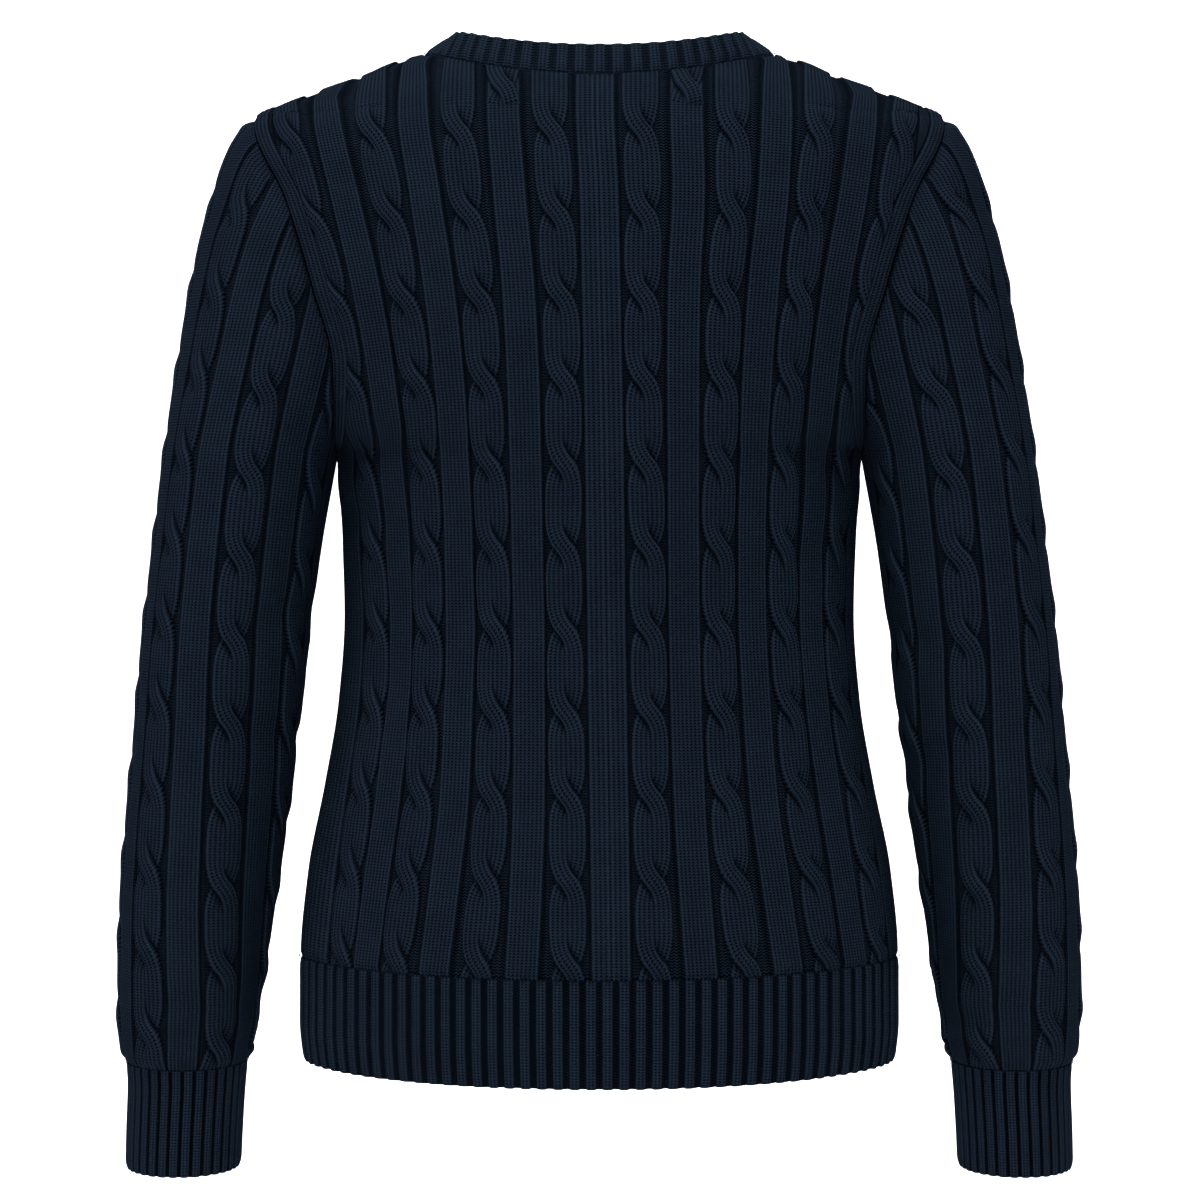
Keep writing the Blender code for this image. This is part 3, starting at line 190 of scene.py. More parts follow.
# %% Curves through a table
def smooth_curve(rows, name):
    """A function of the height that passes through one column of a table."""
    ordered = sorted(rows, key=lambda row: row.height)
    x = np.array([row.height for row in ordered])
    y = np.array([getattr(row, name) for row in ordered])
    step = np.diff(x)
    slope = np.diff(y) / step
    tangent = np.zeros(len(x))
    tangent[0] = slope[0]
    tangent[-1] = slope[-1]
    for i in range(1, len(x) - 1):
        if slope[i - 1] * slope[i] > 0:
            a = 2 * step[i] + step[i - 1]
            b = step[i] + 2 * step[i - 1]
            tangent[i] = (a + b) / (a / slope[i - 1] + b / slope[i])

    def at(height):
        h = np.clip(np.asarray(height, float), x[0], x[-1])
        i = np.clip(np.searchsorted(x, h) - 1, 0, len(x) - 2)
        t = (h - x[i]) / step[i]
        keep = 2 * t**3 - 3 * t**2 + 1
        bend = step[i] * ((t**3 - 2 * t**2 + t) * tangent[i] + (t**3 - t**2) * tangent[i + 1])
        return keep * y[i] + (1 - keep) * y[i + 1] + bend

    return at


edge_at = smooth_curve(EDGE, "half_width")
cable_at = [smooth_curve(COLUMNS, f"cable_{k}") for k in (1, 2, 3, 4)]
drift_at = smooth_curve(COLUMNS, "drift")
depth_at = {"back": smooth_curve(DEPTHS, "back"), "front": smooth_curve(DEPTHS, "front")}
fullness_at = smooth_curve(DEPTHS, "fullness")
edge_power_at = smooth_curve(DEPTHS, "edge_power")
outer_at = smooth_curve(SLEEVE, "outer")
forward_at = smooth_curve(SLEEVE, "forward")
LOWER_SLEEVE = [row for row in SLEEVE if row.height <= UNDERARM]
inner_at = smooth_curve(LOWER_SLEEVE, "inner")
arm_depth_at = smooth_curve(LOWER_SLEEVE, "half_depth")
print("half width at the waist", round(float(edge_at(-0.3334)), 4))


# %% Small helpers
def smooth_step(t):
    """From 0 at 0 to 1 at 1, without a corner at either end."""
    t = np.clip(t, 0.0, 1.0)
    return t * t * (3 - 2 * t)


def unit(vectors):
    length = np.linalg.norm(vectors, axis=-1, keepdims=True)
    return vectors / np.maximum(length, 1e-12)


def mirrored(points):
    return points * np.array([-1.0, 1.0, 1.0])


print("half way up a soft step", float(smooth_step(0.5)))


# %% The oval slices of a sleeve and the armhole that they leave in the body
def sleeve_slice(height):
    """Where the body ends, and the middle, half width and half depth of the oval at a height."""
    height = np.asarray(height, float)
    up = np.clip((height - UNDERARM) / (SHOULDER_TIP - UNDERARM), 0.0, 1.0)
    near = np.where(height > UNDERARM, edge_at(height), inner_at(height))
    span = np.maximum(outer_at(height) - near, 1e-6)
    middle = near + CAP_CENTRE_SHARE * (1 - up) * span
    half_width = outer_at(height) - middle
    cap_depth = UPPER_ARM_DEPTH * np.sqrt(np.maximum(1 - up**CAP_ROUNDNESS, 0.0))
    half_depth = np.where(height > UNDERARM, cap_depth, arm_depth_at(height))
    return near, middle, half_width, half_depth


def armhole_depth(height):
    """Half the depth of the hole that a sleeve leaves in the body, which is 0 outside the armhole."""
    height = np.asarray(height, float)
    near, middle, half_width, half_depth = sleeve_slice(height)
    across = np.clip((edge_at(height) - middle) / half_width, -1.0, 1.0)
    beside_arm = (height > UNDERARM) & (height < SHOULDER_TIP)
    return np.where(beside_arm, half_depth * np.sqrt(1 - across**2), 0.0)


def body_depth(side, x, height):
    """How far a panel lies behind or before the side seams, at a place and a height."""
    middle = depth_at[side](height)
    fullness = fullness_at(height)
    power = edge_power_at(height)
    at_edge = np.maximum(armhole_depth(height), SEAM_GAP / 2)
    side_x = edge_at(height) / (1 - (at_edge / middle) ** power) ** (1 / fullness)
    return middle * np.maximum(1 - (np.abs(x) / side_x) ** fullness, 0.0) ** (1 / power)


def neck_seam_height(side, x):
    """The height of the neck's edge, which is high above the sweater beside the neck."""
    share = np.abs(x) / NECK_HALF_WIDTH
    if side == "back":
        curve = BACK_NECK + (NECK_CORNER - BACK_NECK) * np.minimum(share, 1.0) ** 2.2
    else:
        curve = V_POINT + (NECK_CORNER - V_POINT) * np.minimum(share, 1.0) ** 0.92
    return np.where(share < 1.0, curve, 1.0)


print("half armhole at the chest", round(float(armhole_depth(-0.15)), 4))


# %% [markdown]
# ## Creases
# Knitting that is filled out has few creases: soft troughs fan out from the underarms, the sleeves
# buckle a little at the elbows and above the cuffs, and the back dips at the waist. Each is given as a
# line on the cloth with its own length, width and depth.

# %% Creases, given one by one
Crease = namedtuple("Crease", "piece x1 z1 x2 z2 width depth")
CREASES = [
    Crease("back", 0.142, -0.238, 0.092, -0.212, 0.0100, 0.0022),
    Crease("back", -0.140, -0.246, -0.098, -0.226, 0.0120, 0.0024),
    Crease("back", 0.140, -0.275, 0.104, -0.283, 0.0130, 0.0016),
    Crease("back", -0.139, -0.292, -0.096, -0.305, 0.0120, 0.0018),
    Crease("back", 0.060, -0.338, -0.075, -0.330, 0.0200, 0.0014),
    Crease("back", 0.120, -0.372, 0.070, -0.360, 0.0150, 0.0012),
    Crease("front", 0.142, -0.240, 0.088, -0.208, 0.0110, 0.0026),
    Crease("front", -0.143, -0.238, -0.094, -0.215, 0.0120, 0.0023),
    Crease("front", 0.138, -0.262, 0.100, -0.256, 0.0120, 0.0016),
    Crease("front", -0.070, -0.345, 0.052, -0.338, 0.0190, 0.0015),
    Crease("sleeve_left", 0.178, -0.330, 0.226, -0.352, 0.0110, 0.0020),
    Crease("sleeve_left", 0.190, -0.402, 0.240, -0.388, 0.0120, 0.0017),
    Crease("sleeve_left", 0.208, -0.560, 0.258, -0.552, 0.0090, 0.0016),
    Crease("sleeve_left", 0.205, -0.585, 0.266, -0.580, 0.0070, 0.0012),
    Crease("sleeve_right", -0.180, -0.345, -0.232, -0.364, 0.0120, 0.0021),
    Crease("sleeve_right", -0.186, -0.420, -0.236, -0.402, 0.0110, 0.0015),
    Crease("sleeve_right", -0.210, -0.572, -0.262, -0.558, 0.0090, 0.0015),
    Crease("sleeve_right", -0.216, -0.590, -0.270, -0.583, 0.0070, 0.0012),
]


def sunk_by_creases(piece, points):
    """How far a point of the cloth is pressed in, from the soft troughs near it."""
    sunk = np.zeros(points.shape[:-1])
    for crease in CREASES:
        if crease.piece != piece:
            continue
        start = np.array([crease.x1, crease.z1])
        run = np.array([crease.x2, crease.z2]) - start
        flat = points[..., [0, 2]] - start
        share = np.clip(flat @ run / (run @ run), 0.0, 1.0)
        away = np.linalg.norm(flat - share[..., None] * run, axis=-1) / crease.width
        tapered = 1 - 0.75 * share
        sunk += crease.depth * tapered * np.exp(-away * away)
    return sunk


print(len(CREASES), "creases")


# %% [markdown]
# ## A cloth form as a grid
# A form keeps, for a ladder of heights, the points round each slice, the directions outwards and the
# distance travelled along the slice. Any column of knitting is then a line of distances, one for each
# height, cut off where it meets the neck, the shoulder or the armhole.

# %% Grids of the body and the sleeves
Form = namedtuple("Form", "name heights points outward distance limit")
SLICE_STEPS = 140
FINER_ABOVE = -0.06          # where the shoulder turns in and the slices lie closer together


def graded_heights(bottom, top, low_count, high_count):
    low = np.linspace(bottom, FINER_ABOVE, low_count)
    high = np.linspace(FINER_ABOVE, top, high_count)
    return np.sort(np.unique(np.concatenate([low, high, [UNDERARM]])))


def finished_form(name, heights, half, half_outward):
    """A whole slice from its half, with signed distances from the middle."""
    steps = np.linalg.norm(np.diff(half, axis=1), axis=2)
    travelled = np.concatenate([np.zeros((len(heights), 1)), np.cumsum(steps, axis=1)], axis=1)
    flip = np.array([-1.0, 1.0, 1.0]) if name in ("back", "front") else np.array([1.0, -1.0, 1.0])
    points = np.concatenate([(half * flip)[:, :0:-1], half], axis=1)
    outward = np.concatenate([(half_outward * flip)[:, :0:-1], half_outward], axis=1)
    distance = np.concatenate([-travelled[:, :0:-1], travelled], axis=1)
    return Form(name, heights, points, outward, distance, travelled[:, -1])


def panel_form(side, heights):
    """A panel as half slices from its middle to its edge, mirrored to whole ones."""
    x = edge_at(heights)[:, None] * np.sin(np.linspace(0.0, math.pi / 2, SLICE_STEPS))[None, :]
    y = body_depth(side, x, heights[:, None])
    points = np.stack([x, y, np.broadcast_to(heights[:, None], x.shape)], axis=-1)
    outward = unit(np.cross(np.gradient(points, heights, axis=0), np.gradient(points, axis=1)))
    seam = (heights < UNDERARM) | (heights > SHOULDER_TIP)
    outward[seam, -1, 1] = 0.0
    sign = 1.0 if side == "back" else -1.0
    points[..., 1] *= sign
    outward[..., 1] *= sign
    return finished_form(side, heights, points, unit(outward))


def sleeve_form(name, heights):
    """The wearer's left sleeve, from its outer line round the back, and its mirror image."""
    near, middle, half_width, half_depth = sleeve_slice(heights)
    across = np.clip((near - middle) / np.maximum(half_width, 1e-9), -1.0, 1.0)
    turn = np.linspace(0.0, 1.0, SLICE_STEPS)[None, :] * np.arccos(across)[:, None]
    x = middle[:, None] + half_width[:, None] * np.cos(turn) + SLEEVE_SHIFT
    y = half_depth[:, None] * np.sin(turn)
    points = np.stack([x, y, np.broadcast_to(heights[:, None], x.shape)], axis=-1)
    outward = unit(np.cross(np.gradient(points, axis=1), np.gradient(points, heights, axis=0)))
    outward[:, 0, 1] = 0.0
    outward[heights <= UNDERARM, -1, 1] = 0.0
    form = finished_form(name, heights, points, unit(outward))
    form.points[..., 1] -= forward_at(heights)[:, None]
    if name == "sleeve_right":
        form = form._replace(points=mirrored(form.points), outward=mirrored(form.outward))
    return form


panel_heights = graded_heights(HEM_SEAM, 0.0059, 210, 170)
sleeve_heights = graded_heights(CUFF_SEAM, SHOULDER_TIP - 0.0001, 240, 60)
forms = {
    "back": panel_form("back", panel_heights),
    "front": panel_form("front", panel_heights),
    "sleeve_left": sleeve_form("sleeve_left", sleeve_heights),
    "sleeve_right": sleeve_form("sleeve_right", sleeve_heights),
}
print({name: form.points.shape for name, form in forms.items()})


# %% Lines of knitting on a form
Line = namedtuple("Line", "points outward length along")


def lines_on(form, places, is_edge=None, held=None):
    """Each row of places is a column's signed distance at every height. The line stops at the neck,
    the shoulder ridge or the armhole. Held is how far from the middle it may lie."""
    count, steps = form.distance.shape
    kept = places if held is None else np.clip(places, -held, held)
    index = np.empty_like(places)
    for i in range(count):
        index[:, i] = np.interp(kept[:, i], form.distance[i], np.arange(steps))
    low = np.clip(index.astype(int), 0, steps - 2)
    t = (index - low)[..., None]
    row = np.arange(count)[None, :]
    points = form.points[row, low] * (1 - t) + form.points[row, low + 1] * t
    outward = form.outward[row, low] * (1 - t) + form.outward[row, low + 1] * t
    room = form.limit[None, :] - np.abs(places)
    above_arm = form.heights >= UNDERARM
    result = []
    for n in range(len(places)):
        edge_line = is_edge is not None and is_edge[n]
        if form.name in ("back", "front"):
            past_tip = form.heights > SHOULDER_TIP
            left = SHOULDER_TIP - form.heights if edge_line else np.where(past_tip, room[n], 1.0)
            seam = neck_seam_height(form.name, points[n, :, 0]) - form.heights
            left = np.minimum(left, seam)
            ended = left <= 0
        else:
            left = np.where(above_arm, room[n] if not edge_line else -1.0, 1.0)
            ended = left <= 0
        ended[0] = False
        stop = int(np.argmax(ended)) if ended.any() else count
        line = points[n, :stop]
        away = outward[n, :stop]
        if stop < count:
            t = left[stop - 1] / max(left[stop - 1] - left[stop], 1e-12)
            last = points[n, stop - 1] * (1 - t) + points[n, stop] * t
            last_away = outward[n, stop - 1] * (1 - t) + outward[n, stop] * t
            if form.name in ("back", "front") and room[n, stop] <= 0 and not edge_line:
                last[1] = math.copysign(SEAM_GAP / 2, line[0, 1])
                last_away[1] = 0.0
            line = np.concatenate([line, [last]])
            away = np.concatenate([away, [last_away]])
        steps_up = np.linalg.norm(np.diff(line, axis=0), axis=1)
        along = np.concatenate([[0.0], np.cumsum(steps_up)])
        result.append(Line(line, unit(away), along[-1], along))
    return result


def read_line(line, wanted):
    """Points and outward directions at the wanted distances up a line."""
    points = [np.interp(wanted, line.along, line.points[:, c]) for c in range(3)]
    outward = [np.interp(wanted, line.along, line.outward[:, c]) for c in range(3)]
    return np.stack(points, axis=-1), unit(np.stack(outward, axis=-1))


# %% [markdown]
# ## Yarn
# The yarn is a matte navy cotton. Close up, a plain stitch is a small V. From two metres the V's of a
# column run together into a bright ridge, with a dark hole beside it in every row. In the grooves the
# back of the stitch shows as short rungs. The shade in the holes and between the rungs is painted into
# the colour as well as set in a bump. Both patterns are worked out from the piece's own UV map, which
# counts columns and rows of stitches, so that they follow every cable and rib.

# %% A short way to write sums with shader nodes
def calculate(tree, operation, *values):
    node = tree.nodes.new("ShaderNodeMath")
    node.operation = operation
    for socket, value in zip(node.inputs, values):
        if isinstance(value, (int, float)):
            socket.default_value = value
        else:
            tree.links.new(value, socket)
    return node.outputs[0]


def stitch_counts(tree):
    """Sockets for the count of columns and of rows of stitches."""
    uv = tree.nodes.new("ShaderNodeUVMap")
    uv.uv_map = "knit"
    split = tree.nodes.new("ShaderNodeSeparateXYZ")
    tree.links.new(uv.outputs["UV"], split.inputs[0])
    return split.outputs["X"], split.outputs["Y"]


# %% The ridge and holes of plain columns, and the rungs of a purl groove
STITCH_SLANT = 0.5           # how many rows a stitch rises from the middle of its column to the edge


def plain_stitch(tree, wale, course):
    """A high ridge up the middle of each column, and a low hole beside it in every row. The height sets
    the bump and the painted shade of the holes.
    """
    in_wale = calculate(tree, "FRACT", wale)
    aside = calculate(tree, "ABSOLUTE", calculate(tree, "MULTIPLY_ADD", in_wale, 2.0, -1.0))
    along = calculate(tree, "FRACT", calculate(tree, "MULTIPLY_ADD", aside, -STITCH_SLANT, course))
    centred = calculate(tree, "MULTIPLY_ADD", along, 2.0, -1.0)
    stitch = calculate(tree, "SUBTRACT", 1.0, calculate(tree, "POWER", calculate(
        tree, "ABSOLUTE", centred), 1.8))
    ridge = calculate(tree, "SUBTRACT", 1.0, calculate(tree, "POWER", aside, 1.6))
    along_ridge = calculate(tree, "MULTIPLY", ridge, calculate(
        tree, "MULTIPLY_ADD", stitch, 0.22, 0.78))
    beside_ridge = calculate(tree, "MULTIPLY", calculate(tree, "SUBTRACT", 1.0, ridge),
                             calculate(tree, "MULTIPLY_ADD", stitch, 1.0, -0.15))
    return calculate(tree, "ADD", beside_ridge, along_ridge)


def purl_rungs(tree, wale, course):
    """One wavy rung for each row, a little lower between two columns."""
    turned = calculate(tree, "MULTIPLY", wale, 2 * math.pi)
    wave = calculate(tree, "SINE", turned)
    row = calculate(tree, "MULTIPLY_ADD", wave, 0.22, course)
    rung = calculate(tree, "SINE", calculate(tree, "MULTIPLY", row, 2 * math.pi))
    rung = calculate(tree, "MULTIPLY_ADD", rung, 0.5, 0.5)
    between = calculate(tree, "COSINE", turned)
    between = calculate(tree, "MULTIPLY_ADD", between, -0.2, 0.8)
    return calculate(tree, "MULTIPLY", rung, between)


# %% The yarn's colour, with painted shade by depth in the stitch, fibres and sheen
FIBRE_SCALE = 1500.0         # of the noise that stands for single fibres
PATCH_SCALE = 55.0           # of the noise that stands for uneven dye
FIBRE_SHARE = 0.30           # how high the fibres stand beside the stitch


def yarn_material(name, height_of, deep, lit, bump, contrast=1.60, darkest=-0.82):
    """Height_of gives the height of the stitch from 0 to 1. Deep and lit are the colours of painted
    shade in the holes and of painted light on the ridges, and contrast and darkest turn the height into
    a share of the two."""
    material = bpy.data.materials.new(name)
    material.use_nodes = True
    tree = material.node_tree
    shader = tree.nodes["Principled BSDF"]
    wale, course = stitch_counts(tree)
    height = height_of(tree, wale, course)
    place = tree.nodes.new("ShaderNodeTexCoord")
    fibres = tree.nodes.new("ShaderNodeTexNoise")
    fibres.inputs["Scale"].default_value = FIBRE_SCALE
    fibres.inputs["Detail"].default_value = 3.0
    tree.links.new(place.outputs["Object"], fibres.inputs["Vector"])
    patches = tree.nodes.new("ShaderNodeTexNoise")
    patches.inputs["Scale"].default_value = PATCH_SCALE
    patches.inputs["Detail"].default_value = 4.0
    tree.links.new(place.outputs["Object"], patches.inputs["Vector"])
    yarn_height = calculate(tree, "MULTIPLY_ADD", fibres.outputs["Fac"], FIBRE_SHARE, height)
    relief = tree.nodes.new("ShaderNodeBump")
    relief.inputs["Strength"].default_value = 1.0
    relief.inputs["Distance"].default_value = bump
    tree.links.new(yarn_height, relief.inputs["Height"])
    tree.links.new(relief.outputs["Normal"], shader.inputs["Normal"])
    worn = calculate(tree, "MULTIPLY_ADD", patches.outputs["Fac"], 0.36, -0.18)
    speckled = calculate(tree, "MULTIPLY_ADD", fibres.outputs["Fac"], 0.36, worn)
    # The share of the lit colour: painted shade from the stitch's height, with random fibres and uneven
    # dye on top.
    tone = calculate(tree, "ADD", calculate(
        tree, "MULTIPLY_ADD", height, contrast, darkest), speckled)
    colour = tree.nodes.new("ShaderNodeMix")
    colour.data_type = "RGBA"        # a Mix node of colours has them at its sockets 6 and 7
    colour.inputs[6].default_value = (*deep, 1.0)
    colour.inputs[7].default_value = (*lit, 1.0)
    clamped = calculate(tree, "MINIMUM", calculate(tree, "MAXIMUM", tone, 0.0), 1.0)
    # Painted shade and highlight: each point's shade attribute scales the share of the lit colour.
    shade = tree.nodes.new("ShaderNodeAttribute")
    shade.attribute_name = "shade"
    shaded = calculate(tree, "MULTIPLY", clamped, shade.outputs["Fac"])
    tree.links.new(shaded, colour.inputs[0])
    tree.links.new(colour.outputs[2], shader.inputs["Base Color"])
    shader.inputs["Roughness"].default_value = 0.95
    shader.inputs["Specular IOR Level"].default_value = 0.0
    shader.inputs["Sheen Weight"].default_value = 0.006
    shader.inputs["Sheen Roughness"].default_value = 0.4
    shader.inputs["Sheen Tint"].default_value = (0.45, 0.58, 0.80, 1.0)
    return material


# %% The yarn of the ribbed bands, and the three yarns
RIB_WALES = 5.0              # three plain columns and two purl ones
CREST_SHARE = 0.6            # the share of the plain ones


def rib_stitch(tree, wale, course):
    """Three plain columns and two purl ones, as on the ribbed bands."""
    in_rib = calculate(tree, "FRACT", calculate(tree, "DIVIDE", wale, RIB_WALES))
    is_purl = calculate(tree, "GREATER_THAN", in_rib, CREST_SHARE)
    plain = plain_stitch(tree, wale, course)
    purl = calculate(tree, "MULTIPLY_ADD", purl_rungs(tree, wale, course), 0.75, 0.25)
    difference = calculate(tree, "SUBTRACT", purl, plain)
    return calculate(tree, "MULTIPLY_ADD", difference, is_purl, plain)


STITCH_DEPTH = 0.00090
# The in-shade colours are painted shade down in the stitch holes, the lit ones the ridges in light.
NAVY_IN_SHADE = (0.0002, 0.0005, 0.0013)
NAVY_LIT = (0.0068, 0.0112, 0.0189)
PURL_IN_SHADE = (0.0001, 0.0002, 0.0005)
PURL_LIT = (0.0070, 0.0115, 0.0194)
plain_yarn = yarn_material("navy_plain_knit", plain_stitch, NAVY_IN_SHADE, NAVY_LIT, STITCH_DEPTH)
purl_yarn = yarn_material("navy_purl_knit", purl_rungs, PURL_IN_SHADE, PURL_LIT, STITCH_DEPTH,
                          contrast=1.5, darkest=-0.30)
rib_yarn = yarn_material("navy_rib_knit", rib_stitch, NAVY_IN_SHADE, NAVY_LIT, STITCH_DEPTH)
print("yarns:", plain_yarn.name, purl_yarn.name, rib_yarn.name)


# %% [markdown]
# ## Meshes of knitted cloth
# A wall of cloth is two sheets: the fine outer one carries the relief, the plain inner one is coarser,
# and their edges are sewn together with triangles. Each corner keeps its count of columns and rows.

# %% A mesh made of grids
SHARP_EDGE = math.radians(75)        # between two faces that aren't shaded as one


class Cloth:
    """Grids of points that become one mesh, with counts of stitches, outward marks and painted shades.
    """

    def __init__(self):
        self.points = []
        self.counts = []
        self.marks = []
        self.shades = []
        self.faces = []
        self.finish = []
        self.size = 0

    def add_grid(self, points, counts, outward=None, shade=1.0):
        """Adds a grid of lines and rows and gives the number of each of its points. The shade is
        painted into the colour: 1 on open cloth, less down in a crease, where little light reaches the
        yarn, and more than 1 for a painted highlight."""
        lines, rows = points.shape[:2]
        index = np.arange(lines * rows).reshape(lines, rows) + self.size
        self.points.append(points.reshape(-1, 3))
        self.counts.append(counts.reshape(-1, 2))
        given = np.zeros((lines * rows, 3)) if outward is None else outward.reshape(-1, 3)
        self.marks.append(given)
        self.shades.append(np.broadcast_to(shade, (lines, rows)).reshape(-1))
        self.size += lines * rows
        return index

    def fill(self, index, finish, closed=False):
        """Faces between neighbouring lines. The finish is one number, or one for each gap."""
        after = np.roll(index, -1, axis=0) if closed else index[1:]
        first = index if closed else index[:-1]
        quads = np.stack([first[:, :-1], after[:, :-1], after[:, 1:], first[:, 1:]], axis=-1)
        kinds = np.broadcast_to(np.asarray(finish).reshape(-1, 1), quads.shape[:2])
        self.faces.extend(map(tuple, quads.reshape(-1, 4).tolist()))
        self.finish.extend(kinds.reshape(-1).tolist())

    def sew(self, left, right, finish=0):
        """Triangles between two edges with different numbers of points."""
        points = np.concatenate(self.points)

        def shares(edge):
            steps = np.linalg.norm(np.diff(points[edge], axis=0), axis=1)
            travelled = np.concatenate([[0.0], np.cumsum(steps)])
            return travelled / max(travelled[-1], 1e-12)

        a = shares(left)
        b = shares(right)
        i = 0
        j = 0
        while i < len(left) - 1 or j < len(right) - 1:
            if i < len(left) - 1 and (j == len(right) - 1 or a[i + 1] <= b[j + 1]):
                self.faces.append((int(left[i]), int(left[i + 1]), int(right[j])))
                i += 1
            else:
                self.faces.append((int(left[i]), int(right[j + 1]), int(right[j])))
                j += 1
            self.finish.append(finish)

    def close(self, outer, inner, closed=False):
        """Sews the inner sheet to the outer one, all round."""
        for end in (0, -1):
            outside = outer[:, end]
            inside = inner[:, end]
            if closed:
                outside = np.append(outside, outside[0])
                inside = np.append(inside, inside[0])
            self.sew(outside, inside)
        if not closed:
            for side in (0, -1):
                self.sew(outer[side], inner[side])

    def make(self, name, materials, merge=0.00004, closed_shell=True):
        """Makes the object. Points closer than merge become one, and a shell is turned outwards."""
        mesh = bpy.data.meshes.new(name)
        mesh.from_pydata(np.concatenate(self.points).tolist(), [], self.faces)
        counts = np.concatenate(self.counts)
        layer = mesh.uv_layers.new(name="knit")
        corner = np.empty(len(mesh.loops), dtype=np.int32)
        mesh.loops.foreach_get("vertex_index", corner)
        layer.data.foreach_set("uv", counts[corner].ravel())
        marks = mesh.attributes.new("outward", "FLOAT_VECTOR", "POINT")
        marks.data.foreach_set("vector", np.concatenate(self.marks).ravel())
        shades = mesh.attributes.new("shade", "FLOAT", "POINT")
        shades.data.foreach_set("value", np.concatenate(self.shades))
        for material in materials:
            mesh.materials.append(material)
        mesh.polygons.foreach_set("material_index", np.array(self.finish, dtype=np.int32))
        work = bmesh.new()
        work.from_mesh(mesh)
        bmesh.ops.remove_doubles(work, verts=work.verts, dist=merge)
        bmesh.ops.dissolve_degenerate(work, edges=work.edges, dist=merge / 4)
        if closed_shell:
            bmesh.ops.recalc_face_normals(work, faces=work.faces)
            if work.calc_volume(signed=True) < 0:
                bmesh.ops.reverse_faces(work, faces=work.faces)
        loose = [vertex for vertex in work.verts if not vertex.link_faces]
        bmesh.ops.delete(work, geom=loose, context="VERTS")
        work.to_mesh(mesh)
        work.free()
        mesh.shade_smooth()
        mesh.set_sharp_from_angle(angle=SHARP_EDGE)
        piece = bpy.data.objects.new(name, mesh)
        bpy.context.scene.collection.objects.link(piece)
        return piece


# %% [markdown]
# ## Plain panels and purl grooves
# Between two cables runs a plain panel eight columns wide with a purl groove on each side. The grooves
# open out over the shoulders and close up at the waist, because the cables keep their width there.
# Along each armhole the knitting turns into a plain band four columns wide, which lies over the rest.

# %% A plain panel and a groove
NECK_CROSSING = -0.0300      # one last crossing in two of the back's plain panels, at the neck
neck_cables = []
# A column's shade is painted shade below 1 and a painted highlight above 1.
Column = namedtuple("Column", "place wale rise purl_after edge shade")
FLAT_WALES = 8
GROOVE_WALES = 2
BAND_WALES = 4
# EDGE_LIGHT is a painted highlight on the last stitch beside a groove.
EDGE_LIGHT = 1.45            # the last stitch beside a groove turns up to the light
SLEEVE_HUG = 0.00006         # between columns that a sleeve's seam pushes together
HUGGED = 30                  # the most columns that it pushes together
BAND_TUCK = 0.0009           # how far a panel or a sleeve reaches in behind the band below it
CAP_TUCK = 0.0016            # how far a sleeve's cap reaches in under the armhole's band
BEFORE_FLAT = (0.4, 0.82)            # where the lines of a groove stand, before a plain panel
AFTER_FLAT = (0.18, 0.6)             # and after it
UNDER_CABLE = (-0.85, -0.45, 0.0, 0.45, 0.85)        # where they stand under a cable


def wale_ridge(i):
    """A column of stitches is highest along its middle."""
    return WALE_RIDGE if i % 2 else -0.5 * WALE_RIDGE


def add_flat(columns, first, last, wale, wales, rise):
    """A plain panel, as two lines for each column of stitches."""
    for i in range(2 * wales + 1):
        share = i / (2 * wales)
        ridge = wale_ridge(i)
        place = first + (last - first) * share
        from_side = min(i, 2 * wales - i)
        # Painted shade on the panel's outermost line, which turns down into the groove, and a painted
        # highlight on the stitches beside it.
        shade = (0.75, EDGE_LIGHT, 1.1)[from_side] if from_side < 3 else 1.0
        columns.append(Column(place, wale + i / 2, rise + ridge, False, False, shade))
    columns[-1] = columns[-1]._replace(purl_after=True)


def add_groove(columns, first, last, wale, share_list):
    """A purl groove. Its line beside the plain panel is less deep, with the panel's shadow painted on
    it.
    """
    gap = last - first
    for share in share_list:
        beside = share in (AFTER_FLAT[0], BEFORE_FLAT[1])
        deep = -GROOVE_DEPTH * (0.7 if beside else 1.0)
        place = first + gap * share
        # Painted shadow of the plain panel on the line beside it.
        shade = 0.3 if beside else 1.0
        columns.append(Column(place, wale + GROOVE_WALES * share, deep, True, False, shade))


